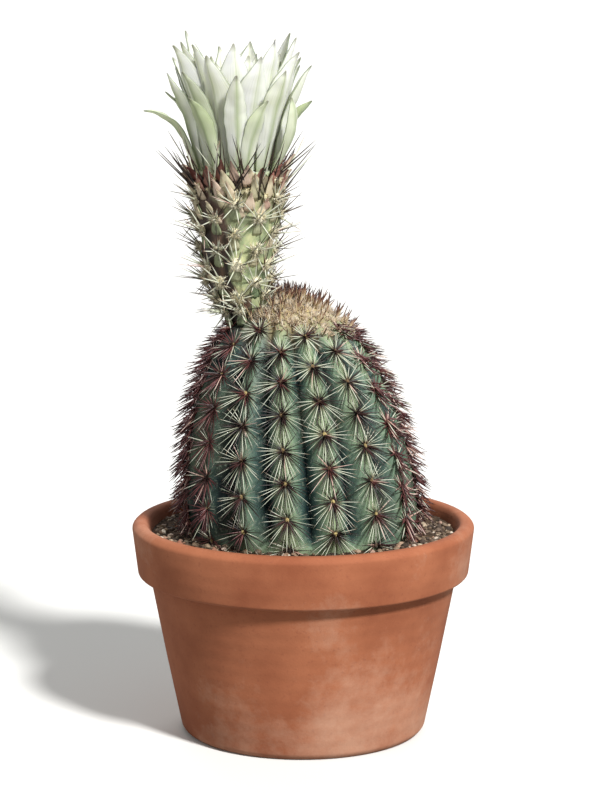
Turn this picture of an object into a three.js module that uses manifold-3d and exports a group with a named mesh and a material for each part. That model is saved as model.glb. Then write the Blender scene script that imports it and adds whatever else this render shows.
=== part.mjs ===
// A young hedgehog cactus (Echinocereus grandis) with one open flower, in a low clay pot.
// Millimetres, +Z up. The origin is the centre of the pot's underside, -Y is the front and +X the right.
import * as THREE from 'three';
import { mergeVertices } from 'three/addons/utils/BufferGeometryUtils.js';
import Module from 'manifold-3d';

const wasm = await Module();
wasm.setup();

// Between two pieces that touch.
const clearance = 0.3;

// The pot is a thrown pan with a rim band and a drain hole.
const pot = {
  height: 66,
  footRadius: 38,
  bandFootRadius: 47.5,
  bandHeight: 17,
  bandBottomRadius: 51.2,
  rimRadius: 53,
  mouthRadius: 48,
  floorRadius: 33.5,
  floorThickness: 6,
  drainRadius: 6,
  facets: 36,
};

// A broken piece of clay pot lies arched over the drain hole.
const shard = { width: 30, length: 26, thickness: 4, arch: 4 };

// Gritty soil fills the pot to just below the rim. Its grains show as relief on the surface.
const soil = { belowRim: 3.5, relief: 1.1, facets: 36 };
const soilLevel = pot.height - soil.belowRim;

// The stem is a ribbed dome. Its own frame has Z zero at the soil level.
const stem = {
  radius: 36,
  height: 72.5,
  roundness: 2.1,
  lean: -0.074,
  footHeight: 10,
  footTuck: 0.02,
  buried: 7,
  collarRadius: 8,
  collarDepth: 15,
  rootTip: 44,
  rootTipRadius: 1.2,
};
const ribs = { count: 16, firstAngle: THREE.MathUtils.degToRad(-6.3), furrow: 0.15, sharpness: 1.7 };

// Areoles sit on the crest of each rib, a centimetre apart until the crown. Neighbouring ribs are half a
// step out of line.
const areoles = { firstHeight: 1.6, spacing: 10.2, crownRadius: 16, crownSpacing: 0.25 };

// The flower grows out of the stem's left shoulder. Its own frame has Z zero at its foot.
const flower = { x: -17.4, y: -1.5, z: 68.5, sink: 2.2 };
const tube = {
  length: 42.3,
  footRadius: 5.6,
  flare: 7.9,
  flareCurve: 0.72,
  bend: -2.6,
  bendHeight: 14,
  scaleRows: 7,
  scalesPerRow: 6,
  scaleBulge: 0.7,
  chamberFloor: 14,
  throatRadius: 8,
  ledgeHeight: 36,
};
const tubeScales = { length: 5.4, width: 3.4, depth: 1.5, belowAreole: 4.4, tipLift: 1.4 };
const rimScales = { count: 8, firstTurn: 0.3, belowRim: 4.5, length: 7.5, width: 4.6, thickness: 0.7 };

// Spines are thorns sunk into what they grow from.
const spines = {
  stemWidth: 1,
  tubeWidth: 0.9,
  rootDepth: 1.1,
  turnPlay: 10,
  liftPlay: 5,
  shortest: 0.85,
  longest: 1.15,
};

// Park and Miller's generator, so that each run draws the same numbers.
function makeRandom(seed) {
  let state = seed;
  return (low, high) => {
    state = (state * 16807) % 2147483647;
    return low + ((high - low) * state) / 2147483647;
  };
}

function smoothStep(value, low, high) {
  return THREE.MathUtils.smoothstep(value, low, high);
}

// Solids

// A closed geometry as a solid, with shared vertices merged and the slivers at its poles dropped.
function solidOf(geometry) {
  const bare = geometry.index ? geometry.toNonIndexed() : geometry.clone();
  bare.deleteAttribute('normal');
  bare.deleteAttribute('uv');
  const merged = mergeVertices(bare, 1e-4);
  const corners = merged.index.array;
  const triVerts = [];
  for (let i = 0; i < corners.length; i += 3) {
    const [a, b, c] = corners.slice(i, i + 3);
    if (a !== b && b !== c && c !== a) triVerts.push(a, b, c);
  }
  const vertProperties = new Float32Array(merged.attributes.position.array);
  const mesh = new wasm.Mesh({ numProp: 3, vertProperties, triVerts: new Uint32Array(triVerts) });
  return new wasm.Manifold(mesh);
}

function geometryOf(solid) {
  const mesh = solid.getMesh();
  const geometry = new THREE.BufferGeometry();
  geometry.setAttribute('position', new THREE.BufferAttribute(mesh.vertProperties, 3));
  geometry.setIndex(new THREE.BufferAttribute(mesh.triVerts, 1));
  geometry.computeVertexNormals();
  return geometry;
}

function join(solids) {
  return wasm.Manifold.union(solids);
}

// A closed skin over rings of points that run the same way round, from the lowest ring to the highest.
function skin(rings) {
  const size = rings[0].length;
  const points = rings.flat();
  const index = [];
  for (let row = 0; row + 1 < rings.length; row++) {
    for (let i = 0; i < size; i++) {
      const a = row * size + i;
      const b = row * size + ((i + 1) % size);
      index.push(a, b, b + size, a, b + size, a + size);
    }
  }
  const top = (rings.length - 1) * size;
  for (let i = 1; i + 1 < size; i++) {
    index.push(0, i + 1, i);
    index.push(top, top + i, top + i + 1);
  }
  const geometry = new THREE.BufferGeometry().setFromPoints(points);
  geometry.setIndex(index);
  return solidOf(geometry);
}

// A turned solid from [radius, height] pairs, listed anticlockwise as seen with the axis on the left.
function turned(profile, facets) {
  const points = profile.map(([radius, height]) => new THREE.Vector2(radius, height));
  const geometry = new THREE.LatheGeometry(points, facets);
  geometry.rotateX(Math.PI / 2);
  return solidOf(geometry);
}

// A three-sided thorn from its root to its tip, cut from one pattern.
const thornPattern = solidOf(new THREE.ConeGeometry(1, 1, 3));
function thorn(root, tip, width) {
  const along = tip.clone().sub(root);
  const length = along.length();
  const turn = new THREE.Quaternion().setFromUnitVectors(new THREE.Vector3(0, 1, 0), along.normalize());
  const middle = root.clone().add(tip).multiplyScalar(0.5);
  const place = new THREE.Matrix4().compose(middle, turn, new THREE.Vector3(width / 2, length, width / 2));
  return thornPattern.transform(place.elements);
}

// The tip of a spine: turn is from straight up and lift off the skin, both in degrees, each with some play.
function spineTip(foot, { out, up, side }, [turnDegrees, liftDegrees, size], random) {
  const turn = THREE.MathUtils.degToRad(turnDegrees + random(-spines.turnPlay, spines.turnPlay));
  const lift = THREE.MathUtils.degToRad(liftDegrees + random(-spines.liftPlay, spines.liftPlay));
  const length = size * random(spines.shortest, spines.longest);
  const flat = up.clone().multiplyScalar(Math.cos(turn)).addScaledVector(side, Math.sin(turn));
  const aim = flat.multiplyScalar(Math.cos(lift)).addScaledVector(out, Math.sin(lift));
  return foot.clone().addScaledVector(aim, length);
}

// Pot, shard and soil

function makePot() {
  const bandBottom = pot.height - pot.bandHeight;
  return turned([
    [pot.drainRadius, 0],
    [pot.footRadius - 1.5, 0],
    [pot.footRadius, 1.5],
    [pot.bandFootRadius, bandBottom],
    [pot.bandBottomRadius, bandBottom + 0.8],
    [pot.rimRadius, pot.height - 1.5],
    [pot.rimRadius - 1.6, pot.height],
    [pot.mouthRadius + 1, pot.height],
    [pot.mouthRadius, pot.height - 1.2],
    [pot.floorRadius, pot.floorThickness],
    [pot.drainRadius, pot.floorThickness],
    [pot.drainRadius, 0],
  ], pot.facets);
}

function makeShard(margin) {
  const half = shard.width / 2 + margin;
  const low = pot.floorThickness + clearance;
  const rise = low + shard.arch;
  const outline = new THREE.Shape();
  outline.moveTo(-half, low - (margin ? clearance : 0));
  if (margin) outline.lineTo(half, low - clearance);
  else outline.quadraticCurveTo(0, rise + shard.arch, half, low);
  outline.lineTo(half, low + shard.thickness * 0.7 + margin);
  outline.quadraticCurveTo(0, rise + shard.arch + shard.thickness * 1.3 + margin * 2,
    -half, low + shard.thickness * 0.7 + margin);
  outline.closePath();
  const length = shard.length + 2 * margin;
  const settings = { depth: length, bevelEnabled: false, curveSegments: 8 };
  const geometry = new THREE.ExtrudeGeometry(outline, settings);
  geometry.translate(0, 0, -length / 2);
  geometry.rotateX(Math.PI / 2);
  return solidOf(geometry);
}

function innerWallRadius(height) {
  const share = (height - pot.floorThickness) / (pot.height - 1.2 - pot.floorThickness);
  return THREE.MathUtils.lerp(pot.floorRadius, pot.mouthRadius, share);
}

function soilSurface(x, y) {
  const grains = Math.sin(1.31 * x + 0.6 * y) * Math.cos(1.17 * y - 0.4 * x);
  return soil.relief * grains * 0.5;
}

function makeSoil() {
  const floor = pot.floorThickness + clearance;
  const edge = innerWallRadius(soilLevel) - 2 * clearance;
  const surface = [edge, edge - 4, edge - 8].map((radius) => [radius, soilLevel]);
  const profile = [[0, floor], [innerWallRadius(floor) - 2 * clearance, floor], ...surface, ...stemHole()];
  const points = profile.map(([radius, height]) => new THREE.Vector2(radius, height));
  const geometry = new THREE.LatheGeometry(points, soil.facets);
  geometry.rotateX(Math.PI / 2);
  const position = geometry.attributes.position;
  for (let i = 0; i < position.count; i++) {
    if (Math.abs(position.getZ(i) - soilLevel) > 1e-3) continue;
    const radius = Math.hypot(position.getX(i), position.getY(i));
    const awayFromWall = 1 - smoothStep(radius, edge - 2, edge - 0.1);
    position.setZ(i, soilLevel + awayFromWall * soilSurface(position.getX(i), position.getY(i)));
  }
  return solidOf(geometry).subtract(makeShard(clearance));
}

// Stem

function crestRadius(z) {
  const share = Math.min(1, Math.max(0, z) / stem.height);
  const dome = stem.radius * (1 - share ** stem.roundness) ** (1 / stem.roundness);
  return dome - stem.footTuck * Math.max(0, stem.footHeight - z) ** 2;
}

// Heights at equal steps along the crest's curve, from the buried foot to the top.
const meridian = (() => {
  const samples = [];
  for (let z = -stem.buried; z < 0; z += 0.25) samples.push({ z, radius: crestRadius(z), arc: 0 });
  const steps = 400;
  for (let i = 0; i <= steps; i++) {
    const z = stem.height * Math.sin((i / steps) * (Math.PI / 2)) ** (2 / stem.roundness);
    samples.push({ z, radius: crestRadius(z), arc: 0 });
  }
  for (let i = 1; i < samples.length; i++) {
    const rise = samples[i].z - samples[i - 1].z;
    samples[i].arc = samples[i - 1].arc + Math.hypot(rise, samples[i].radius - samples[i - 1].radius);
  }
  return samples;
})();
const meridianLength = meridian[meridian.length - 1].arc;

function heightAtArc(arc) {
  const next = Math.max(1, meridian.findIndex((sample) => sample.arc >= arc));
  const [low, high] = [meridian[next - 1], meridian[next]];
  return THREE.MathUtils.mapLinear(arc, low.arc, high.arc, low.z, high.z);
}

function arcAtHeight(z) {
  return meridian.find((sample) => sample.z >= z).arc;
}

function placeAreoles() {
  const random = makeRandom(2311);
  const places = [];
  for (let rib = 0; rib < ribs.count; rib++) {
    const angle = ribs.firstAngle + (rib * 2 * Math.PI) / ribs.count;
    let arc = arcAtHeight(areoles.firstHeight) + (rib % 2) * areoles.spacing * 0.5;
    for (let order = 0; arc < meridianLength - 1.2; order++) {
      const z = heightAtArc(arc);
      const radius = crestRadius(z);
      places.push({ order, angle, arc, z, crown: radius < areoles.crownRadius });
      const share = Math.min(1, radius / areoles.crownRadius);
      const closeness = THREE.MathUtils.lerp(areoles.crownSpacing, 1, share);
      arc += areoles.spacing * closeness * random(0.95, 1.05);
    }
  }
  return places;
}
const areolePlaces = placeAreoles();

function ribShare(angle) {
  const turns = ((angle - ribs.firstAngle) * ribs.count) / (2 * Math.PI);
  return Math.abs(2 * (turns - Math.round(turns)));
}

// The stem leans a little to the left above the soil.
function stemShift(z) {
  return stem.lean * Math.max(0, z);
}

// A point of the stem's skin. Furrows deepen with the girth and fade out at the foot.
function stemPoint(angle, z, lift = 0) {
  const crest = crestRadius(z);
  const furrow = ribs.furrow * crest * smoothStep(z, -4, 8) * ribShare(angle) ** ribs.sharpness;
  const radius = crest - furrow + lift;
  return new THREE.Vector3(stemShift(z) + radius * Math.sin(angle), -radius * Math.cos(angle), z);
}

// Outward, upward and sideways directions at a point of a crest.
function crestFrame(angle, arc) {
  const below = stemPoint(angle, heightAtArc(arc - 0.4));
  const above = stemPoint(angle, heightAtArc(Math.min(arc + 0.4, meridianLength - 0.01)));
  const up = above.sub(below).normalize();
  const side = new THREE.Vector3(Math.cos(angle), Math.sin(angle), 0);
  const out = side.clone().cross(up).normalize();
  return { out, up, side };
}

function stemBody() {
  const columnsPerRib = 4;
  const columns = ribs.count * columnsPerRib;
  const rows = 18;
  const crestStep = (2 * Math.PI) / ribs.count;
  const offsets = [-0.5, -0.24, 0, 0.24];
  const rings = [];
  for (let row = 0; row < rows; row++) {
    const z = heightAtArc((meridianLength * row) / (rows - 0.55));
    const ring = [];
    for (let i = 0; i < columns; i++) {
      const rib = Math.floor(i / columnsPerRib);
      ring.push(stemPoint(ribs.firstAngle + crestStep * (rib + offsets[i % columnsPerRib]), z));
    }
    rings.push(ring);
  }
  return skin(rings);
}

// The root narrows from the stem's foot to a tip, as [radius, height] pairs from the foot down.
const rootProfile = [
  [crestRadius(-stem.buried) * 0.72, -stem.buried - 4.5],
  [stem.collarRadius, -stem.collarDepth],
  [stem.collarRadius * 0.4, -stem.rootTip * 0.6],
  [stem.rootTipRadius, -stem.rootTip],
];

function makeRoot() {
  const top = 0.4 - stem.buried;
  const foot = [crestRadius(-stem.buried) - 0.6, top];
  return turned([[0, -stem.rootTip], ...rootProfile.toReversed(), foot, [0, top]], 12);
}

// The plain hole in the soil: the buried foot and root, a clearance wider all round.
function stemHole() {
  const buried = [0, -stem.buried].map((z) => [crestRadius(z), z]);
  const wall = [...buried, ...rootProfile].map(([radius, z]) => [radius + 2.5 * clearance, soilLevel + z]);
  for (const point of wall.slice(1)) point[1] -= clearance;
  return [...wall, [0, soilLevel - stem.rootTip - clearance]];
}

function clearOfFlower(point) {
  const height = point.z - flower.z;
  if (height < -6) return true;
  const reach = tubeRadius(Math.max(0, height)) + 2.4;
  const axis = flower.x + tubeShift(Math.max(0, height));
  return Math.hypot(point.x - axis, point.y - flower.y) > reach;
}

function clearOfSoil(point) {
  const insideMouth = Math.hypot(point.x, point.y) < pot.mouthRadius - 1.5;
  return point.z > soil.relief + 0.5 && insideMouth;
}

// The spines of one areole as [turn, lift, length].
const evenSpines = [[75, 26, 7], [130, 21, 8.8], [180, 23, 8.6], [230, 21, 8.8], [285, 26, 7]];
const oddSpines = [[98, 24, 7.6], [153, 21, 8.8], [207, 21, 8.8], [262, 24, 7.6], [165, 66, 5.6]];
const crownSpines = [[40, 62, 5.5], [200, 66, 6]];

function stemSpines() {
  const random = makeRandom(907);
  const grown = [];
  for (const place of areolePlaces) {
    const sideSpines = place.order % 2 ? oddSpines : evenSpines;
    const frame = crestFrame(place.angle, place.arc);
    const foot = stemPoint(place.angle, place.z);
    const root = foot.clone().addScaledVector(frame.out, -spines.rootDepth);
    for (const spine of place.crown ? crownSpines : sideSpines) {
      const tip = spineTip(foot, frame, spine, random);
      const middle = foot.clone().lerp(tip, 0.5);
      const clear = [foot, middle, tip].every(clearOfFlower) && clearOfSoil(tip);
      if (clear) grown.push(thorn(root, tip, spines.stemWidth));
    }
  }
  return grown;
}

// The socket is a clearance wider than the flower's foot, which stands in it.
function flowerSocket() {
  const rings = [-flower.sink - clearance, 0, 3, 6, 9, 12].map((s) => tubeRing(s, 24, 1.3 * clearance + 0.1));
  return skin(rings).translate([flower.x, flower.y, flower.z]);
}

function makeStem() {
  return join([stemBody(), makeRoot(), ...stemSpines()]).subtract(flowerSocket());
}

// Flower tube

function tubeRadius(s) {
  return tube.footRadius + tube.flare * (Math.max(0, s) / tube.length) ** tube.flareCurve;
}

function tubeShift(s) {
  const share = Math.min(1, Math.max(0, s) / tube.bendHeight);
  return tube.bend * (1 - (1 - share) ** 2);
}

function tubePoint(angle, s, lift = 0) {
  const below = Math.min(0, s);
  const radius = tubeRadius(s) + below * 0.55 + lift;
  return new THREE.Vector3(tubeShift(s) + radius * Math.sin(angle), -radius * Math.cos(angle), s);
}

function tubeRing(s, facets, lift = 0) {
  return Array.from({ length: facets }, (_, i) => tubePoint((i * 2 * Math.PI) / facets, s, lift));
}

// The areoles of the tube, each in the axil of a scale.
function placeScales() {
  const random = makeRandom(4177);
  const places = [];
  const { scaleRows, scalesPerRow } = tube;
  for (let row = 0; row < scaleRows; row++) {
    for (let i = 0; i < scalesPerRow; i++) {
      const angle = ((i + 0.5 * (row % 2)) * 2 * Math.PI) / scalesPerRow + random(-0.08, 0.08);
      const s = 5 + ((tube.length - 8) * row) / (scaleRows - 1) + random(-0.5, 0.5);
      places.push({ row, angle, s });
    }
  }
  return places;
}
const scalePlaces = placeScales();

function tubeBody() {
  const facets = 18;
  const steps = [-flower.sink, 0, 5, 10.5, 16, 21.5, 27, 32.5, 38, tube.length];
  const rings = steps.map((s) => tubeRing(s, facets));
  for (const ring of rings.slice(3, -1)) {
    for (const point of ring) {
      const angle = Math.atan2(point.x - tubeShift(point.z), -point.y);
      let bulge = 0;
      for (const place of scalePlaces) {
        const across = Math.atan2(Math.sin(angle - place.angle), Math.cos(angle - place.angle));
        const distance = Math.hypot(across * tubeRadius(point.z), point.z - place.s);
        bulge = Math.max(bulge, tube.scaleBulge * (1 - smoothStep(distance, 0, 5)));
      }
      point.copy(tubePoint(angle, point.z, bulge));
    }
  }
  return skin(rings);
}

// The nectar chamber widens to the throat, with a ledge near the top where the stamens stand.
function tubeHollow() {
  const { chamberFloor, ledgeHeight, throatRadius, length } = tube;
  return turned([
    [0, chamberFloor],
    [2.6, chamberFloor],
    [4.6, chamberFloor + 6],
    [throatRadius - 1.9, ledgeHeight],
    [throatRadius, ledgeHeight],
    [throatRadius, length + 1],
    [0, length + 1],
  ], 16).translate([tube.bend, 0, 0]);
}

// A pointed scale with a keel, which holds an areole in its axil.
function keeledScale({ angle, s }) {
  const start = s - tubeScales.belowAreole;
  const root = tubePoint(angle, start, -0.2);
  const tip = tubePoint(angle, start + tubeScales.length, tubeScales.tipLift);
  const along = tip.clone().sub(root);
  const side = new THREE.Vector3(Math.cos(angle), Math.sin(angle), 0);
  const out = side.clone().cross(along).normalize();
  const middle = root.clone().lerp(tip, 0.5);
  const shape = new THREE.Matrix4().makeBasis(
    side.multiplyScalar(tubeScales.width / 2),
    along,
    out.multiplyScalar(tubeScales.depth / 2),
  );
  return thornPattern.transform(shape.setPosition(middle).elements);
}

// A pointed scale against the outside of the tube's rim, from stations of [share of length, breadth, lift].
function rimScale(angle, s) {
  const { length, width, thickness } = rimScales;
  const stations = [[0, 0.55, -0.9], [0.35, 1, 0.1], [0.7, 0.7, 0.8], [1, 0.05, 1.5]];
  const rings = stations.map(([share, breadth, lift]) => {
    const half = (breadth * width) / 2 / tubeRadius(s);
    const height = s + length * share;
    const outer = [-half, 0, half].map((turn) => tubePoint(angle + turn, height, lift + thickness));
    const inner = [half, 0, -half].map((turn) => tubePoint(angle + turn, height, lift));
    return [...outer, ...inner];
  });
  return skin(rings);
}

const tubeSpineSet = [[15, 40, 5.8], [125, 36, 6.2], [235, 36, 6.2]];
const rimSpineSet = [[-16, 40, 12.5], [18, 44, 10.5], [180, 45, 5.5]];

function tubeSpines() {
  const random = makeRandom(613);
  const grown = [];
  for (const { row, angle, s } of scalePlaces) {
    const frame = {
      out: new THREE.Vector3(Math.sin(angle), -Math.cos(angle), 0),
      side: new THREE.Vector3(Math.cos(angle), Math.sin(angle), 0),
      up: new THREE.Vector3(0, 0, 1),
    };
    const foot = tubePoint(angle, s, tube.scaleBulge * 0.6);
    const root = tubePoint(angle, s, -spines.rootDepth);
    for (const spine of row === tube.scaleRows - 1 ? rimSpineSet : tubeSpineSet) {
      const tip = spineTip(foot, frame, spine, random);
      if (clearOfStem(tip)) grown.push(thorn(root, tip, spines.tubeWidth));
    }
  }
  return grown;
}

// Above the crown's spines, or past the tips of those on the stem's shoulder.
function clearOfStem(point) {
  const z = point.z + flower.z;
  const reach = { above: 7, beside: 6.5, shoulder: 12 };
  if (z > stem.height + reach.above) return true;
  const across = Math.hypot(point.x + flower.x - stemShift(z), point.y + flower.y);
  const height = Math.min(z, stem.height);
  return across > crestRadius(height) + reach.beside && z > stem.height - reach.shoulder;
}

function makeTube() {
  const random = makeRandom(77);
  const betweenEnds = scalePlaces.filter(({ row }) => row > 0 && row < tube.scaleRows - 1);
  const scales = betweenEnds.map(keeledScale);
  for (let i = 0; i < rimScales.count; i++) {
    const angle = ((i + rimScales.firstTurn) * 2 * Math.PI) / rimScales.count;
    scales.push(rimScale(angle, tube.length - rimScales.belowRim + random(-0.8, 0.4)));
  }
  return join([tubeBody(), ...scales, ...tubeSpines()]).subtract(tubeHollow());
}

// Tepals

// Rings of tepals from the outermost to the innermost. Tilt and curl are degrees from upright.
const outerRings = [
  { count: 8, length: 27, width: 4.8, radius: 12.5, tilt: 17, curl: 32, turn: 0.35, seed: 31 },
  { count: 9, length: 35, width: 6.2, radius: 11.6, tilt: 15.5, curl: 11, turn: 0.1, seed: 32 },
];
const innerRings = [
  { count: 9, length: 39.5, width: 9.2, radius: 10.25, tilt: 13.5, curl: 6, turn: 0.5, seed: 33 },
  { count: 9, length: 42.3, width: 8.8, radius: 9.35, tilt: 10.5, curl: 4, turn: 0.12, seed: 34 },
  { count: 8, length: 42, width: 8.2, radius: 8.5, tilt: 6.5, curl: 4, turn: 0.4, seed: 35 },
];
const tepal = { thickness: 0.7, widest: 0.58, waist: 0.44, shoulder: 0.9, stations: [0, 0.25, 0.5, 0.75] };

function tepalBreadth(share) {
  if (share < tepal.widest) {
    return tepal.waist + (1 - tepal.waist) * Math.sin((share / tepal.widest) * (Math.PI / 2));
  }
  const rest = (share - tepal.widest) / (1 - tepal.widest);
  return (1 - rest) ** tepal.shoulder * (1 + tepal.shoulder * rest);
}

// A lance-shaped blade, arched across on a curve round the flower's axis.
function tepalBlade({ angle, radius, length, width, tilt, curl }) {
  const base = tube.length + clearance + 0.5;
  const steps = 20;
  const line = [{ radius, height: base, slope: THREE.MathUtils.degToRad(tilt) }];
  for (let i = 1; i <= steps; i++) {
    const slope = THREE.MathUtils.degToRad(tilt + curl * (i / steps) ** 2);
    const last = line[i - 1];
    line.push({
      radius: last.radius + (Math.sin(slope) * length) / steps,
      height: last.height + (Math.cos(slope) * length) / steps,
      slope,
    });
  }
  const place = (at, turn, lift) => {
    const reach = at.radius + lift * Math.cos(at.slope);
    const height = at.height - lift * Math.sin(at.slope);
    const x = tube.bend + reach * Math.sin(angle + turn);
    return new THREE.Vector3(x, -reach * Math.cos(angle + turn), height);
  };
  const rings = tepal.stations.map((share) => {
    const at = line[Math.round(share * steps)];
    const half = (tepalBreadth(share) * width) / 2 / at.radius;
    const outer = [-half, 0, half].map((turn) => place(at, turn, tepal.thickness / 2));
    const inner = [half, 0, -half].map((turn) => place(at, turn, -tepal.thickness / 2));
    return [...outer, ...inner];
  });
  return skin([...rings, rings[0].map(() => place(line[steps], 0, 0))]);
}

function tepalRing({ count, length, width, radius, tilt, curl, turn, seed }) {
  const random = makeRandom(seed);
  return Array.from({ length: count }, (_, i) => tepalBlade({
    angle: ((i + turn) * 2 * Math.PI) / count + random(-0.035, 0.035),
    radius,
    length: length * random(0.93, 1.03),
    width: width * random(0.92, 1.02),
    tilt: tilt + random(-0.6, 0.6),
    curl: curl * random(0.6, 1.3),
  }));
}

// A flat-bottomed collar on which the blades of one colour stand.
function collar(inner, outer, bottom, height, facets) {
  return turned([
    [inner, bottom],
    [outer, bottom],
    [outer, bottom + height],
    [inner, bottom + height],
    [inner, bottom],
  ], facets).translate([tube.bend, 0, 0]);
}

function makeTepals(rings, inner, outer) {
  const foot = collar(inner, outer, tube.length + clearance, 1.6, 18);
  return join([foot, ...rings.flatMap(tepalRing)]);
}

// Stamens and style

const stamens = {
  count: 24,
  collarInner: 6.5,
  collarOuter: 7.6,
  footLength: 1.5,
  foot: 0.45,
  neck: 0.25,
  anther: 0.85,
};

// A thin filament that ends in its anther, three-sided along a straight line.
function stamen(root, tip) {
  const aim = tip.clone().sub(root).normalize();
  const across = new THREE.Vector3(0, 1, 0).cross(aim).normalize();
  const stations = [[0, stamens.foot], [1, stamens.neck], [1.03, stamens.anther], [1.16, 0.05]];
  const rings = stations.map(([share, girth]) => {
    const middle = root.clone().lerp(tip, share);
    return [0, 1, 2].map((i) => {
      const spoke = across.clone().applyAxisAngle(aim, (i * 2 * Math.PI) / 3);
      return spoke.multiplyScalar(girth).add(middle);
    });
  });
  return skin(rings);
}

function makeStamens() {
  const random = makeRandom(5081);
  const bottom = tube.ledgeHeight + clearance;
  const standing = (stamens.collarInner + stamens.collarOuter) / 2;
  const pieces = [collar(stamens.collarInner, stamens.collarOuter, bottom, stamens.footLength, 16)];
  for (let i = 0; i < stamens.count; i++) {
    const angle = (i * 2 * Math.PI) / stamens.count;
    const out = new THREE.Vector3(Math.sin(angle), -Math.cos(angle), 0);
    const axis = new THREE.Vector3(tube.bend, 0, 0);
    const root = axis.clone().addScaledVector(out, standing).setZ(bottom + 0.5);
    const reach = i % 2 ? random(6.6, 7.8) : random(4.2, 5.6);
    const height = i % 2 ? random(60, 64) : random(56, 61);
    const tip = axis.clone().addScaledVector(out, reach).setZ(height);
    pieces.push(stamen(root, tip));
  }
  return join(pieces);
}

const style = { radius: 1.1, top: 68, lobes: 9, lobeLength: 4.2, lobeWidth: 1.3, lobeSpread: 0.62 };

function makeStyle() {
  const bottom = tube.chamberFloor + clearance;
  const column = turned([
    [0, bottom],
    [style.radius, bottom],
    [style.radius, style.top],
    [0, style.top],
  ], 8).translate([tube.bend, 0, 0]);
  const pieces = [column];
  const centre = new THREE.Vector3(tube.bend, 0, style.top - 0.8);
  for (let i = 0; i < style.lobes; i++) {
    const angle = (i * 2 * Math.PI) / style.lobes;
    const out = new THREE.Vector3(Math.sin(angle), -Math.cos(angle), 0);
    const aim = out.multiplyScalar(style.lobeSpread).setZ(1).normalize();
    pieces.push(thorn(centre, centre.clone().addScaledVector(aim, style.lobeLength), style.lobeWidth));
  }
  return join(pieces);
}

// Assembly

function piece(name, solid, colour, roughness) {
  const material = new THREE.MeshStandardMaterial({ color: colour, roughness, metalness: 0 });
  const mesh = new THREE.Mesh(geometryOf(solid), material);
  mesh.name = name;
  return mesh;
}

const pottedCactus = new THREE.Group();
pottedCactus.add(piece('pot', makePot(), 0xb5694a, 0.85));
pottedCactus.add(piece('drain_shard', makeShard(0), 0xa96045, 0.9));
pottedCactus.add(piece('soil', makeSoil(), 0x4a3a2c, 0.95));

const plant = new THREE.Group();
plant.position.z = soilLevel;
plant.add(piece('stem', makeStem(), 0x5f7f63, 0.6));
pottedCactus.add(plant);

const bloom = new THREE.Group();
bloom.position.set(flower.x, flower.y, flower.z);
bloom.add(piece('flower_tube', makeTube(), 0x74876a, 0.6));
bloom.add(piece('outer_tepals', makeTepals(outerRings, 11.0, 13.1), 0xa9b78f, 0.5));
bloom.add(piece('inner_tepals', makeTepals(innerRings, 8.0, 10.7), 0xe9ecdd, 0.5));
bloom.add(piece('stamens', makeStamens(), 0xdccf7c, 0.6));
bloom.add(piece('style', makeStyle(), 0x8fae62, 0.5));
plant.add(bloom);

export default pottedCactus;
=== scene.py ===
# A potted hedgehog cactus with one open flower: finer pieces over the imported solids, and their looks.
# Metres, +Z up, -Y is the front.
import math

import bmesh
import bpy
import numpy as np
from mathutils import Matrix, Vector


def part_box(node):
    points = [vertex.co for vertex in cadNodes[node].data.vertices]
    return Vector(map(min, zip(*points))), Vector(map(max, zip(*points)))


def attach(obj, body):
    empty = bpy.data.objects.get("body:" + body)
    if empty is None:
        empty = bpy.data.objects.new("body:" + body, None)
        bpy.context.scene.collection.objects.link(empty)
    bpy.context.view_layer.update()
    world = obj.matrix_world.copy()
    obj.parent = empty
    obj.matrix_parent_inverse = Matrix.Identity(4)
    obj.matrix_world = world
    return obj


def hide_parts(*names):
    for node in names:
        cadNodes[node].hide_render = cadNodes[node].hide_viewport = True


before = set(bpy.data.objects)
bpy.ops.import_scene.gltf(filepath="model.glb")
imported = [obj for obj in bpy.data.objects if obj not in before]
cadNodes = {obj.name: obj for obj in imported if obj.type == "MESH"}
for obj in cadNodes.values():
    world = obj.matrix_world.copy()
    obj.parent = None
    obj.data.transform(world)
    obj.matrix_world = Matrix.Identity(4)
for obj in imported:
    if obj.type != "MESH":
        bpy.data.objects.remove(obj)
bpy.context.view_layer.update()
mm = 0.001
print("frame loaded:", len(cadNodes), "nodes")


# small tools

def makeRandom(seed):  # a small seeded generator: the same draws each run
    state = seed

    def draw(low, high):
        nonlocal state
        state = state * 16807 % 2147483647
        return low + (high - low) * state / 2147483647

    return draw


def smoothStep(value, low, high):
    share = min(1.0, max(0.0, (value - low) / (high - low)))
    return share * share * (3 - 2 * share)


def mix(a, b, share):
    return a + (b - a) * share


def nothingSelected():
    if bpy.context.mode != "OBJECT":
        bpy.ops.object.mode_set(mode="OBJECT")
    bpy.ops.object.select_all(action="DESELECT")


def onlySelected(piece):
    nothingSelected()
    piece.select_set(True)
    bpy.context.view_layer.objects.active = piece


def newPiece(name):  # the primitive just added
    piece = bpy.context.active_object
    piece.name = name
    piece.data.name = name
    return piece


def placeApplied(piece):
    onlySelected(piece)
    bpy.ops.object.transform_apply(location=True, rotation=True, scale=True)


def modifierApplied(piece, kind, **settings):
    onlySelected(piece)
    modifier = piece.modifiers.new(kind.title(), kind)
    for name, value in settings.items():
        setattr(modifier, name, value)
    bpy.ops.object.modifier_apply(modifier=modifier.name)


def selectWhere(piece, test):  # vertices of the piece in edit mode whose place passes the test
    mesh = bmesh.from_edit_mesh(piece.data)
    for vertex in mesh.verts:
        vertex.select = test(vertex.co)
    mesh.select_mode = {"VERT"}
    mesh.select_flush_mode()
    bmesh.update_edit_mesh(piece.data, loop_triangles=False, destructive=False)


def placesOf(mesh):  # the places of the vertices, one row each
    places = np.empty(len(mesh.vertices) * 3)
    mesh.vertices.foreach_get("co", places)
    return places.reshape(-1, 3)


def moveTo(mesh, places):
    mesh.vertices.foreach_set("co", places.ravel())
    mesh.update()


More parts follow.
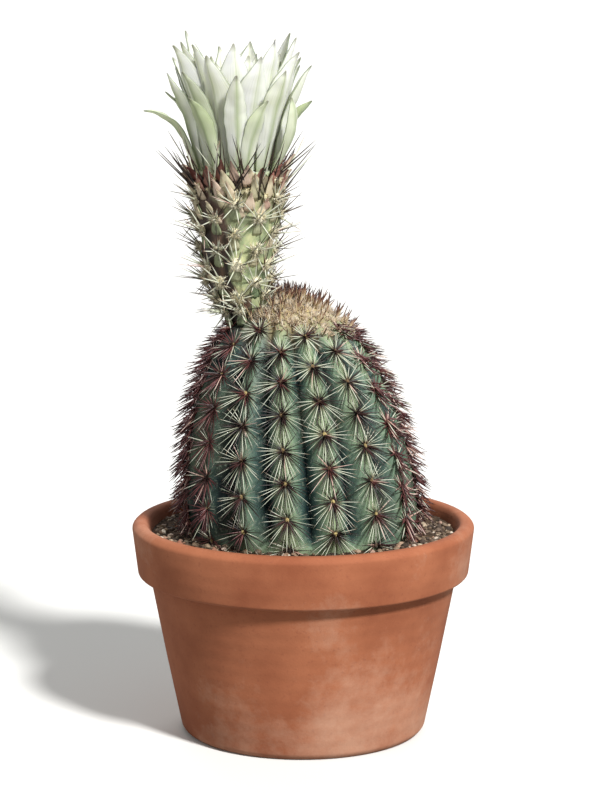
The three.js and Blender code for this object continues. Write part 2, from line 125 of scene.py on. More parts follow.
def mark(mesh, name, values):  # a number at each vertex, which a material reads by its name
    marks = mesh.attributes.new(name, "FLOAT", "POINT")
    marks.data.foreach_set("value", np.array(values, dtype=np.float32))


def clouds(size, depth=2):  # soft lumps for a displace modifier
    texture = bpy.data.textures.new("clouds", "CLOUDS")
    texture.noise_scale = size
    texture.noise_depth = depth
    return texture


def smoothed(piece, angle=60):
    onlySelected(piece)
    bpy.ops.object.shade_smooth_by_angle(angle=math.radians(angle))


def drawnUp(name, rows, vertices, turn=0.0):
    # a ring extruded up row by row, as a potter pulls a wall: a row is (radius, height, shift to the side)
    nothingSelected()
    radius, height, shift = rows[0]
    bpy.ops.mesh.primitive_circle_add(vertices=vertices, radius=radius, fill_type="NGON",
                                      location=(shift, 0, height), rotation=(0, 0, turn))
    piece = newPiece(name)
    placeApplied(piece)
    bpy.ops.object.mode_set(mode="EDIT")
    bpy.ops.mesh.select_all(action="SELECT")
    for last, row in zip(rows, rows[1:]):
        move = (row[2] - last[2], 0, row[1] - last[1])
        bpy.ops.mesh.extrude_region_move(TRANSFORM_OT_translate={"value": move})
        grow = row[0] / last[0]
        bpy.ops.transform.resize(value=(grow, grow, 1), center_override=(row[2], 0, row[1]))
    bpy.ops.mesh.select_all(action="SELECT")
    bpy.ops.mesh.normals_make_consistent(inside=False)
    bpy.ops.object.mode_set(mode="OBJECT")
    return piece


def copiesOf(name, pattern, places):
    # one mesh with a copy of the pattern at each place; a place is a 4x4 matrix and a shade
    corners = placesOf(pattern.data)
    matrices = np.array([place[0] for place in places])
    moved = np.einsum("nij,vj->nvi", matrices[:, :3, :3], corners) + matrices[:, None, :3, 3]
    faces = []
    shapes = [list(face.vertices) for face in pattern.data.polygons]
    for i in range(len(places)):
        start = i * len(corners)
        faces.extend([[start + v for v in shape] for shape in shapes])
    mesh = bpy.data.meshes.new(name)
    mesh.from_pydata(moved.reshape(-1, 3), [], faces)
    mark(mesh, "along", np.tile(corners[:, 2], len(places)))
    mark(mesh, "shade", np.repeat([place[1] for place in places], len(corners)))
    mesh.polygons.foreach_set("use_smooth", [True] * len(mesh.polygons))
    piece = bpy.data.objects.new(name, mesh)
    bpy.context.scene.collection.objects.link(piece)
    return piece


def standing(foot, aim, length, girth, roll=0.0):
    # the matrix that stands a pattern of unit length on its foot, along aim
    aim = aim.normalized()
    across = aim.orthogonal().normalized()
    across.rotate(Matrix.Rotation(roll, 3, aim))
    third = aim.cross(across)
    rows = Matrix((across * girth, third * girth, aim * length)).transposed().to_4x4()
    rows.translation = foot
    return np.array(rows)


def levelAim(angle):  # level and away from the axis; an angle of 0 is the front
    return Vector((math.sin(angle), -math.cos(angle), 0))


def raisedAim(out, up, side, turn, lift):  # turned from up towards the side, and lifted off the skin
    return (up * math.cos(turn) + side * math.sin(turn)) * math.cos(lift) + out * math.sin(lift)


def removed(*patterns):
    for pattern in patterns:
        bpy.data.objects.remove(pattern)


# materials

def colour(hexValue):  # sRGB hex to linear
    parts = [int(hexValue[i:i + 2], 16) / 255 for i in (1, 3, 5)]
    linear = [p / 12.92 if p <= 0.04045 else ((p + 0.055) / 1.055) ** 2.4 for p in parts]
    return (*linear, 1.0)


def setInputs(tree, node, inputs):
    # an input is a value, a hex colour, another node's output, or a node that gives its first output
    for name, value in inputs.items():
        if isinstance(value, bpy.types.Node):
            value = value.outputs[0]
        if isinstance(value, bpy.types.NodeSocket):
            tree.links.new(value, node.inputs[name])
        else:
            node.inputs[name].default_value = colour(value) if isinstance(value, str) else value


def addNode(tree, kind, inputs=None, stops=None, **settings):
    made = tree.nodes.new(kind)
    for name, value in settings.items():
        setattr(made, name, value)
    setInputs(tree, made, inputs or {})
    if stops:
        elements = made.color_ramp.elements
        while len(elements) < len(stops):
            elements.new(0.5)
        for element, (position, shown) in zip(elements, stops.items()):
            element.position = position
            element.color = colour(shown)
    return made


def newMaterial(name):
    material = bpy.data.materials.new(name)
    material.use_nodes = True
    tree = material.node_tree
    surface = tree.nodes["Principled BSDF"]
    return material, tree, surface


def give(piece, material):
    piece.data.materials.clear()
    piece.data.materials.append(material)


def finished(piece, material, slot, *nodes):
    give(piece, material)
    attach(piece, "root")
    if nodes:
        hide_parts(*nodes)


# the pot: thrown earthenware, a pan with a rim band

potLook = {
    "footRadius": 38 * mm,
    "bandFootRadius": 47.5 * mm,
    "bandHeight": 17 * mm,
    "bandBottomRadius": 51.2 * mm,
    "rimRadius": 53 * mm,
    "mouthRadius": 48 * mm,
    "floorRadius": 33.5 * mm,
    "floorThickness": 6 * mm,
    "drainRadius": 6 * mm,
    "vertices": 96,
    "edge": 0.7 * mm,
}


def makePot():
    look = potLook
    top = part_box("pot")[1].z
    band = top - look["bandHeight"]
    rows = [
        (look["drainRadius"], 0.0),
        (look["footRadius"] - 1.5 * mm, 0.0),
        (look["footRadius"], 1.5 * mm),
        (mix(look["footRadius"], look["bandFootRadius"], 0.5), band / 2),
        (look["bandFootRadius"], band),
        (look["bandBottomRadius"], band + 0.8 * mm),
        (look["rimRadius"], top - 1.5 * mm),
        (look["rimRadius"] - 1.6 * mm, top),
        (look["mouthRadius"] + 1 * mm, top),
        (look["mouthRadius"], top - 1.2 * mm),
        (look["floorRadius"], look["floorThickness"]),
        (look["drainRadius"], look["floorThickness"]),
    ]
    pot = drawnUp("clay_pot", [(radius, height, 0.0) for radius, height in rows], look["vertices"])
    # the two discs over the drain hole go, and the hole's wall is bridged
    bpy.ops.object.mode_set(mode="EDIT")
    drainTest = look["drainRadius"] + 0.1 * mm
    selectWhere(pot, lambda co: math.hypot(co.x, co.y) < drainTest)
    bpy.ops.mesh.delete(type="ONLY_FACE")
    selectWhere(pot, lambda co: math.hypot(co.x, co.y) < drainTest)
    bpy.ops.mesh.bridge_edge_loops()
    bpy.ops.mesh.select_all(action="SELECT")
    bpy.ops.mesh.normals_make_consistent(inside=False)
    bpy.ops.object.mode_set(mode="OBJECT")
    modifierApplied(pot, "BEVEL", width=look["edge"], segments=3, limit_method="ANGLE",
                    angle_limit=math.radians(25))
    smoothed(pot, 40)
    return pot


def makeTerracotta(name, light, dark):
    # earthenware fired without glaze: matt and porous, with faint throwing rings and a dusty bloom of lime
    material, tree, surface = newMaterial(name)
    place = addNode(tree, "ShaderNodeTexCoord").outputs["Object"]
    cloud = addNode(tree, "ShaderNodeTexNoise", {
        "Vector": place, "Scale": 38.0, "Detail": 5.0, "Roughness": 0.6})
    clay = addNode(tree, "ShaderNodeValToRGB", {"Fac": cloud}, stops={0.3: dark, 0.7: light})
    speck = addNode(tree, "ShaderNodeTexNoise", {"Vector": place, "Scale": 900.0, "Detail": 2.0})
    speckMask = addNode(tree, "ShaderNodeMapRange", {
        "Value": speck, "From Min": 0.6, "From Max": 0.72, "To Max": 0.35})
    specked = addNode(tree, "ShaderNodeMixRGB", {"Fac": speckMask, "Color1": clay, "Color2": "#8a4a33"})
    bloom = addNode(tree, "ShaderNodeTexNoise", {
        "Vector": place, "Scale": 17.0, "Detail": 8.0, "Roughness": 0.72})
    height = addNode(tree, "ShaderNodeSeparateXYZ", {"Vector": place}).outputs["Z"]
    damp = addNode(tree, "ShaderNodeMapRange", {
        "Value": height, "From Min": 24 * mm, "From Max": 2 * mm, "To Max": 0.1})
    limed = addNode(tree, "ShaderNodeMath", {0: bloom, 1: damp}, operation="ADD")
    bloomMask = addNode(tree, "ShaderNodeMapRange", {
        "Value": limed, "From Min": 0.52, "From Max": 0.72, "To Max": 0.42})
    dusty = addNode(tree, "ShaderNodeMixRGB", {"Fac": bloomMask, "Color1": specked, "Color2": "#d9b49a"})
    # rings left by the thrower's fingers, about 2.2 mm apart, drawn a little uneven
    rings = addNode(tree, "ShaderNodeTexWave", {
        "Vector": place, "Scale": 72.0, "Distortion": 1.6, "Detail": 2.0}, bands_direction="Z")
    pores = addNode(tree, "ShaderNodeTexNoise", {"Vector": place, "Scale": 1500.0, "Detail": 3.0})
    ringBump = addNode(tree, "ShaderNodeBump", {
        "Strength": 0.16, "Distance": 0.25 * mm, "Height": rings.outputs["Fac"]})
    poreBump = addNode(tree, "ShaderNodeBump", {
        "Strength": 0.35, "Distance": 0.12 * mm, "Height": pores, "Normal": ringBump})
    setInputs(tree, surface, {"Base Color": dusty, "Roughness": 0.86, "IOR": 1.5, "Normal": poreBump})
    return material


finished(makePot(), makeTerracotta("unglazed_earthenware", "#b26d4a", "#925031"), "fired_clay", "pot")
give(cadNodes["drain_shard"], makeTerracotta("broken_earthenware", "#b0704f", "#91543a"))
print("pot done")


# the soil: loam and grit

soilLook = {
    "floorRadius": 33 * mm,
    "edgeRadius": 46.9 * mm,
    "innerRadius": 22 * mm,
    "rings": 22,
    "vertices": 120,
    "relief": 1.3 * mm,
    "lumps": 7 * mm,
    "grains": 1500,
    "gritFrom": 31 * mm,
    "gritTo": 46.2 * mm,
    "smallest": 0.45 * mm,
    "largest": 1.5 * mm,
    "aboveRootTip": 44 * mm,
}
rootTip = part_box("stem")[0].z
soilLevel = rootTip + soilLook["aboveRootTip"]


def makeSoil():
    look = soilLook
    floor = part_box("soil")[0].z
    rows = [(look["floorRadius"], floor, 0.0), (look["edgeRadius"], soilLevel - 0.4 * mm, 0.0)]
    for i in range(look["rings"]):
        radius = mix(look["edgeRadius"] - 0.5 * mm, look["innerRadius"], i / (look["rings"] - 1))
        rows.append((radius, soilLevel, 0.0))
    soil = drawnUp("potting_soil", rows, look["vertices"])
    top = soil.vertex_groups.new(name="top")
    crust = [v.index for v in soil.data.vertices if v.co.z > soilLevel - 0.1 * mm]
    top.add(crust, 1.0, "REPLACE")
    for size, strength in ((look["lumps"], look["relief"]), (look["lumps"] / 4, look["relief"] * 0.55)):
        modifierApplied(soil, "DISPLACE", texture=clouds(size, depth=3), strength=strength, mid_level=0.5,
                        direction="Z", vertex_group="top", texture_coords="GLOBAL")
    smoothed(soil, 180)
    return soil


def makeGrit(soil):
    look = soilLook
    random = makeRandom(8123)
    bpy.ops.mesh.primitive_ico_sphere_add(subdivisions=2, radius=1.0, location=(0, 0, 0))
    grain = newPiece("grain")
    chips = bpy.data.textures.new("chips", "VORONOI")
    chips.noise_scale = 0.9
    modifierApplied(grain, "DISPLACE", texture=chips, strength=-0.5, mid_level=0.2)
    places = []
    for _ in range(look["grains"]):
        angle = random(0, 2 * math.pi)
        radius = math.sqrt(random(look["gritFrom"] ** 2, look["gritTo"] ** 2))
        spot = Vector((radius * math.sin(angle), radius * math.cos(angle), soilLevel + 10 * mm))
        _, ground, _, _ = soil.ray_cast(spot, Vector((0, 0, -1)))
        size = look["smallest"] * (look["largest"] / look["smallest"]) ** (random(0, 1) ** 2)
        shape = Matrix.Diagonal((size * random(0.8, 1.3), size * random(0.7, 1.1),
                                 size * random(0.55, 0.9), 1))
        turn = Matrix.Rotation(random(0, 6.28), 4, "Z") @ Matrix.Rotation(random(-0.6, 0.6), 4, "X")
        centre = Matrix.Translation(ground + Vector((0, 0, size * random(-0.1, 0.35))))
        places.append((np.array(centre @ turn @ shape), random(0, 1)))
    grit = copiesOf("grit", grain, places)
    grit.data.polygons.foreach_set("use_smooth", [False] * len(grit.data.polygons))
    removed(grain)
    return grit


def makeLoam():
    # loose loam: crumbs a millimetre or two wide, dark where damp, with no gloss at all
    material, tree, surface = newMaterial("dark_loam")
    place = addNode(tree, "ShaderNodeTexCoord").outputs["Object"]
    crumbs = addNode(tree, "ShaderNodeTexVoronoi", {"Vector": place, "Scale": 620.0})
    damp = addNode(tree, "ShaderNodeTexNoise", {"Vector": place, "Scale": 90.0, "Detail": 6.0})
    tone = addNode(tree, "ShaderNodeValToRGB", {"Fac": damp}, stops={
        0.3: "#2c2119", 0.55: "#4a3a2c", 0.75: "#6d5842"})
    crumbTone = addNode(tree, "ShaderNodeRGBToBW", {"Color": crumbs.outputs["Color"]})
    shaded = addNode(tree, "ShaderNodeMixRGB", {
        "Fac": 0.6, "Color1": tone, "Color2": crumbTone}, blend_type="SOFT_LIGHT")
    bump = addNode(tree, "ShaderNodeBump", {
        "Strength": 0.9, "Distance": 0.7 * mm, "Height": crumbs.outputs["Distance"]})
    setInputs(tree, surface, {
        "Base Color": shaded, "Roughness": 1.0, "Specular IOR Level": 0.2, "Normal": bump})
    return material


def makeStone():
    # crushed quartz, lava and brick: each chip has one colour of its own
    material, tree, surface = newMaterial("crushed_grit")
    shade = addNode(tree, "ShaderNodeAttribute", attribute_name="shade").outputs["Fac"]
    tone = addNode(tree, "ShaderNodeValToRGB", {"Fac": shade}, stops={
        0.0: "#3a2f27", 0.32: "#5c4a3a", 0.5: "#8d7860", 0.66: "#6b5a4c",
        0.8: "#b9a88e", 0.92: "#8f5a43", 1.0: "#ddd3c0"})
    place = addNode(tree, "ShaderNodeTexCoord").outputs["Object"]
    grainy = addNode(tree, "ShaderNodeTexNoise", {"Vector": place, "Scale": 2500.0, "Detail": 3.0})
    worn = addNode(tree, "ShaderNodeMixRGB", {
        "Fac": 0.5, "Color1": tone, "Color2": grainy}, blend_type="SOFT_LIGHT")
    setInputs(tree, surface, {"Base Color": worn, "Roughness": 0.8})
    return material


soil = makeSoil()
finished(soil, makeLoam(), "gritty_soil", "soil")
grit = makeGrit(soil)
finished(grit, makeStone(), "gritty_soil")
print("soil done:", len(grit.data.polygons), "faces of grit")


# the stem: a ribbed dome with sharp furrows; heights are above the soil

stemLook = {
    "radius": 36 * mm,
    "height": 72.5 * mm,
    "roundness": 2.1,
    "lean": -0.074,
    "footHeight": 10 * mm,
    "footTuck": 0.02 / mm,
    "buried": 7 * mm,
    "ribs": 16,
    "firstRib": math.radians(-6.3),
    "furrow": 0.15,
    "sharpness": 1.7,
    "columnsPerRib": 8,
    "rows": 44,
    "podium": 0.55 * mm,
    "podiumReach": 4.2 * mm,
    "rootTipRadius": 1.2 * mm,
    # rows of the root: radius and depth in the soil
    "rootRows": [(3.2 * mm, 26.4 * mm), (8 * mm, 15 * mm)],
    "neckShare": 0.72,
    "neckDrop": 4.5 * mm,
}
areoleLook = {"firstHeight": 1.6 * mm, "spacing": 10.2 * mm, "crownRadius": 16 * mm, "crownSpacing": 0.25}


def crestRadius(z):
    look = stemLook
    share = min(1.0, max(0.0, z) / look["height"])
    dome = look["radius"] * (1 - share ** look["roundness"]) ** (1 / look["roundness"])
    return dome - look["footTuck"] * max(0.0, look["footHeight"] - z) ** 2


def makeMeridian():  # height and arc length along a crest, from the buried foot to the top
    look = stemLook
    heights = list(np.arange(-look["buried"], 0, 0.25 * mm))
    steps = 400
    for i in range(steps + 1):
        heights.append(look["height"] * math.sin(i / steps * math.pi / 2) ** (2 / look["roundness"]))
    radii = [crestRadius(z) for z in heights]
    arcs = np.concatenate([[0], np.cumsum(np.hypot(np.diff(heights), np.diff(radii)))])
    return np.array(heights), arcs


meridianHeights, meridianArcs = makeMeridian()
meridianLength = meridianArcs[-1]


def heightAtArc(arc):
    return float(np.interp(arc, meridianArcs, meridianHeights))


def arcAtHeight(z):
    return float(np.interp(z, meridianHeights, meridianArcs))


def stemShift(z):
    return stemLook["lean"] * max(0.0, z)


def ribShare(angle):
    turns = (angle - stemLook["firstRib"]) * stemLook["ribs"] / (2 * math.pi)
    return abs(2 * (turns - round(turns)))


def furrowScale(share, z):
    return 1 - stemLook["furrow"] * smoothStep(z, -4 * mm, 8 * mm) * share ** stemLook["sharpness"]


def stemPoint(angle, z, lift=0.0):
    radius = crestRadius(z) * furrowScale(ribShare(angle), z) + lift
    return Vector((stemShift(z) + radius * math.sin(angle), -radius * math.cos(angle), soilLevel + z))


def crestFrame(angle, arc):
    below = stemPoint(angle, heightAtArc(arc - 0.4 * mm))
    above = stemPoint(angle, heightAtArc(min(arc + 0.4 * mm, meridianLength - 0.01 * mm)))
    up = (above - below).normalized()
    side = Vector((math.cos(angle), math.sin(angle), 0))
    out = side.cross(up).normalized()
    return out, up, side


def placeAreoles():
    random = makeRandom(2311)
    look = areoleLook
    places = []
    for rib in range(stemLook["ribs"]):
        angle = stemLook["firstRib"] + rib * 2 * math.pi / stemLook["ribs"]
        arc = arcAtHeight(look["firstHeight"]) + (rib % 2) * look["spacing"] * 0.5
        while arc < meridianLength - 1.2 * mm:
            z = heightAtArc(arc)
            radius = crestRadius(z)
            places.append({"angle": angle, "arc": arc, "z": z, "radius": radius,
                           "crown": radius < look["crownRadius"]})
            closeness = mix(look["crownSpacing"], 1.0, min(1.0, radius / look["crownRadius"]))
            arc += look["spacing"] * closeness * random(0.95, 1.05)
    return places


areolePlaces = placeAreoles()


def makeStem():
    look = stemLook
    foot = -look["buried"]
    heights = [heightAtArc(meridianLength * i / (look["rows"] - 0.6)) for i in range(look["rows"])]
    rows = [(look["rootTipRadius"], rootTip, 0.0)]
    rows += [(radius, soilLevel - depth, 0.0) for radius, depth in look["rootRows"]]
    rows.append((crestRadius(foot) * look["neckShare"], soilLevel + foot - look["neckDrop"], 0.0))
    rows += [(crestRadius(z), soilLevel + z, stemShift(z)) for z in heights]
    stem = drawnUp("cactus_stem", rows, look["ribs"] * look["columnsPerRib"], look["firstRib"])
    # the furrows: the columns between two crests are drawn in towards the axis, the middle one deepest
    bpy.ops.object.mode_set(mode="EDIT")
    mesh = bmesh.from_edit_mesh(stem.data)
    half = look["columnsPerRib"] // 2
    for z in heights:
        ring = [v for v in mesh.verts if abs(v.co.z - soilLevel - z) < 1e-6]
        for step in range(1, half + 1):
            scale = furrowScale(step / half, z)
            if scale > 0.9999:
                continue
            bpy.ops.mesh.select_all(action="DESELECT")
            for vertex in ring:
                angle = math.atan2(vertex.co.x - stemShift(z), -vertex.co.y)
                vertex.select = abs(ribShare(angle) - step / half) < 0.4 / half
            mesh.select_flush_mode()
            centre = (stemShift(z), 0, soilLevel + z)
            bpy.ops.transform.resize(value=(scale, scale, 1), center_override=centre)
    # the bottoms of the furrows stay a sharp fold
    lowest = soilLevel + foot
    selectWhere(stem, lambda co: co.z > lowest and furrowShareAt(co) > 0.97)
    bpy.ops.transform.edge_crease(value=1.0)
    bpy.ops.object.mode_set(mode="OBJECT")
    modifierApplied(stem, "SUBSURF", levels=1, render_levels=1)
    swellPodia(stem)
    markSkin(stem)
    smoothed(stem, 50)
    return stem


def furrowShareAt(co):
    return ribShare(math.atan2(co.x - stemShift(co.z - soilLevel), -co.y))


def swellPodia(stem):  # each areole sits on a low swelling of its rib
    look = stemLook
    places = placesOf(stem.data)
    lift = np.zeros(places.shape)
    for areole in areolePlaces:
        if areole["crown"]:
            continue
        out, up, side = crestFrame(areole["angle"], areole["arc"])
        centre = np.array(stemPoint(areole["angle"], areole["z"]))
        offset = places - centre
        reach = np.hypot(offset @ np.array(side), offset @ np.array(up) * 0.8) / look["podiumReach"]
        reach = np.maximum(reach, np.abs(offset @ np.array(out)) / (6 * mm))
        swell = look["podium"] * np.exp(-((reach * 1.6) ** 2))
        lift += swell[:, None] * np.array(out)
    moveTo(stem.data, places + lift)


def markSkin(stem):  # how far each point is from a crest towards a furrow, and how near crown and flower
    flowerFoot = tubeFoot + Vector((0, 0, -1 * mm))
    furrows = []
    crowns = []
    flowerShadows = []
    for vertex in stem.data.vertices:
        z = vertex.co.z - soilLevel
        radius = math.hypot(vertex.co.x - stemShift(z), vertex.co.y)
        furrows.append(furrowShareAt(vertex.co) * smoothStep(z, -2 * mm, 6 * mm))
        crowns.append(1 - smoothStep(radius, 9 * mm, 21 * mm) if z > 40 * mm else 0.0)
        # nearness to the foot of the flower, for the painted shadow of the tube
        flowerShadows.append(1 - smoothStep((vertex.co - flowerFoot).length, 7 * mm, 15 * mm))
    mark(stem.data, "furrow", furrows)
    mark(stem.data, "crown", crowns)
    mark(stem.data, "flowerShadow", flowerShadows)


def makeCactusSkin():
    # living cactus skin: a thick waxy cuticle, grown smooth and fine grained. It gives a soft sheen on the
    # crests, a blue-green shadow in the furrows and pale specks of wax
    material, tree, surface = newMaterial("waxy_cactus_skin")
    place = addNode(tree, "ShaderNodeTexCoord").outputs["Object"]
    furrow = addNode(tree, "ShaderNodeAttribute", attribute_name="furrow").outputs["Fac"]
    patches = addNode(tree, "ShaderNodeTexNoise", {
        "Vector": place, "Scale": 110.0, "Detail": 6.0, "Roughness": 0.62})
    wander = addNode(tree, "ShaderNodeMath", {0: patches, 1: 0.55}, operation="MULTIPLY")
    deep = addNode(tree, "ShaderNodeMath", {0: furrow, 1: 1.6}, operation="POWER")
    depth = addNode(tree, "ShaderNodeMath", {0: deep, 1: wander}, operation="ADD")
    # painted shade: the skin darkens towards both flanks, which turn from the light, most of all on the left
    # under the flower
    across = addNode(tree, "ShaderNodeSeparateXYZ", {"Vector": place}).outputs["X"]
    left = addNode(tree, "ShaderNodeMapRange", {
        "Value": across, "From Min": -8 * mm, "From Max": -25 * mm, "To Max": 0.62})
    right = addNode(tree, "ShaderNodeMapRange", {
        "Value": across, "From Min": 14 * mm, "From Max": 31 * mm, "To Max": 0.34})
    flankShade = addNode(tree, "ShaderNodeMath", {0: left, 1: right}, operation="ADD")
    furrowAndFlankShade = addNode(tree, "ShaderNodeMath", {0: depth, 1: flankShade}, operation="ADD")
    scaled = addNode(tree, "ShaderNodeMath", {0: furrowAndFlankShade, 1: 0.66}, operation="MULTIPLY")
    green = addNode(tree, "ShaderNodeValToRGB", {"Fac": scaled}, stops={
        0.16: "#95a47f", 0.36: "#70876f", 0.58: "#3e554e", 0.8: "#0f2022"})
    broad = addNode(tree, "ShaderNodeTexNoise", {"Vector": place, "Scale": 32.0, "Detail": 3.0})
    yellow = addNode(tree, "ShaderNodeMapRange", {
        "Value": broad, "From Min": 0.5, "From Max": 0.75, "To Max": 0.35})
    warmed = addNode(tree, "ShaderNodeMixRGB", {"Fac": yellow, "Color1": green, "Color2": "#9ba47b"})
    flecks = addNode(tree, "ShaderNodeTexNoise", {
        "Vector": place, "Scale": 700.0, "Detail": 4.0, "Roughness": 0.7})
    wax = addNode(tree, "ShaderNodeMapRange", {
        "Value": flecks, "From Min": 0.55, "From Max": 0.75, "To Max": 0.5})
    waxy = addNode(tree, "ShaderNodeMixRGB", {"Fac": wax, "Color1": warmed, "Color2": "#b4c0a8"})
    crown = addNode(tree, "ShaderNodeAttribute", attribute_name="crown").outputs["Fac"]
    felted = addNode(tree, "ShaderNodeMixRGB", {"Fac": crown, "Color1": waxy, "Color2": "#b8a67a"})
    # painted shadow: round the foot of the flower the skin is painted nearly black, where the tube shades it
    flowerShadow = addNode(tree, "ShaderNodeAttribute", attribute_name="flowerShadow").outputs["Fac"]
    flowerShadowShare = addNode(tree, "ShaderNodeMath", {0: flowerShadow, 1: 0.85}, operation="MULTIPLY")
    darkened = addNode(tree, "ShaderNodeMixRGB", {"Fac": flowerShadowShare, "Color1": felted, "Color2": "#1a2728"})
    # skin grain is a tenth of a millimetre and wouldn't show, so it is drawn at about 0.7 mm
    grain = addNode(tree, "ShaderNodeTexNoise", {"Vector": place, "Scale": 1400.0, "Detail": 3.0})
    bump = addNode(tree, "ShaderNodeBump", {"Strength": 0.3, "Distance": 0.12 * mm, "Height": grain})
    setInputs(tree, surface, {
        "Base Color": darkened, "Roughness": 0.5, "IOR": 1.42, "Specular IOR Level": 0.35,
        "Subsurface Weight": 0.12, "Subsurface Radius": (0.5, 1.0, 0.35), "Subsurface Scale": 1.5 * mm,
        "Normal": bump})
    return material


tubeLook = {
    "x": -17.4 * mm,
    "y": -1.5 * mm,
    "sink": 2.2 * mm,
    "length": 42.3 * mm,
    "footRadius": 5.6 * mm,
    "flare": 7.9 * mm,
    "flareCurve": 0.72,
    "bend": -2.6 * mm,
    "bendHeight": 14 * mm,
    "scaleRows": 7,
    "scalesPerRow": 6,
    "bulge": 0.9 * mm,
    "chamberFloor": 14 * mm,
    "throatRadius": 8 * mm,
    "ledgeHeight": 36 * mm,
    "columns": 84,
    "rows": 56,
}
tubeFoot = Vector((tubeLook["x"], tubeLook["y"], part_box("flower_tube")[0].z + tubeLook["sink"]))

stem = makeStem()
finished(stem, makeCactusSkin(), "cactus_skin", "stem")
print("stem done:", len(stem.data.polygons), "faces")


# the flower tube: its heights are above the foot, which is sunk a little into the shoulder

def tubeRadius(s):
    share = max(0.0, s) / tubeLook["length"]
    return tubeLook["footRadius"] + tubeLook["flare"] * share ** tubeLook["flareCurve"]


def tubeShift(s):
    share = min(1.0, max(0.0, s) / tubeLook["bendHeight"])
    return tubeLook["bend"] * (1 - (1 - share) ** 2)


def tubePoint(angle, s, lift=0.0):
    radius = tubeRadius(s) + lift
    return tubeFoot + Vector((tubeShift(s) + radius * math.sin(angle), -radius * math.cos(angle), s))


def tubeFrame(angle, s):
    up = (tubePoint(angle, s + 0.5 * mm) - tubePoint(angle, s - 0.5 * mm)).normalized()
    side = Vector((math.cos(angle), math.sin(angle), 0))
    return side.cross(up).normalized(), up, side


def flowerAxis(s):  # above its bend the tube stands upright, and the flower on it
    return tubeFoot + Vector((tubeLook["bend"], 0, s))


def insideTube(point, spare):
    s = point.z - tubeFoot.z
    if s < -4 * mm or s > tubeLook["length"]:
        return False
    axis = tubeFoot + Vector((tubeShift(s), 0, 0))
    return math.hypot(point.x - axis.x, point.y - axis.y) < tubeRadius(s) + spare


def placeScales():
    random = makeRandom(4177)
    look = tubeLook
    places = []
    for row in range(look["scaleRows"]):
        for i in range(look["scalesPerRow"]):
            turn = (i + 0.5 * (row % 2)) * 2 * math.pi / look["scalesPerRow"]
            angle = turn + random(-0.08, 0.08)
            s = 5 * mm + (look["length"] - 8 * mm) * row / look["scaleRows"] + random(-0.5, 0.5) * mm
            places.append({"row": row, "angle": angle, "s": s})
    return places


scalePlaces = placeScales()


def makeTube():
    look = tubeLook
    lowest = -look["sink"]
    rows = []
    for i in range(look["rows"]):
        s = mix(lowest, look["length"], i / (look["rows"] - 1))
        rows.append((tubeRadius(s), tubeFoot.z + s, tubeShift(s)))
    axis = tubeShift(look["length"])
    inside = [(look["throatRadius"] + 2.6 * mm, look["length"] + 0.2 * mm),
              (look["throatRadius"], look["ledgeHeight"] + 0.5 * mm),
              (look["throatRadius"] - 0.6 * mm, look["ledgeHeight"] - 3 * mm),
              (5.2 * mm, 24 * mm),
              (3.4 * mm, look["chamberFloor"] + 1.5 * mm),
              (2.2 * mm, look["chamberFloor"])]
    rows += [(radius, tubeFoot.z + s, axis) for radius, s in inside]
    tube = drawnUp("flower_tube_skin", rows, look["columns"])
    ontoFlowerAxis(tube)
    swellTube(tube)
    smoothed(tube, 60)
    return tube


def ontoFlowerAxis(piece):
    piece.location = (tubeFoot.x, tubeFoot.y, 0)
    placeApplied(piece)


def swellTube(tube):  # under each areole a ridge runs down the tube: the foot of its scale
    look = tubeLook
    places = placesOf(tube.data)
    lift = np.zeros(places.shape)
    height = np.zeros(len(places))
    for scale in scalePlaces:
        out, up, side = (np.array(v) for v in tubeFrame(scale["angle"], scale["s"]))
        offset = places - np.array(tubePoint(scale["angle"], scale["s"]))
        high = offset @ up
        across = np.abs(offset @ side) / (2.3 * mm)
        along = np.where(high > 0, high / (1.6 * mm), -high / (5.5 * mm))
        near = np.abs(offset @ out) < 2.5 * mm
        swell = near * np.exp(-(across ** 2) - along ** 2)
        lift += (look["bulge"] * swell)[:, None] * out
        height += swell
    moveTo(tube.data, places + lift)
    mark(tube.data, "ridge", np.minimum(height, 1.0))


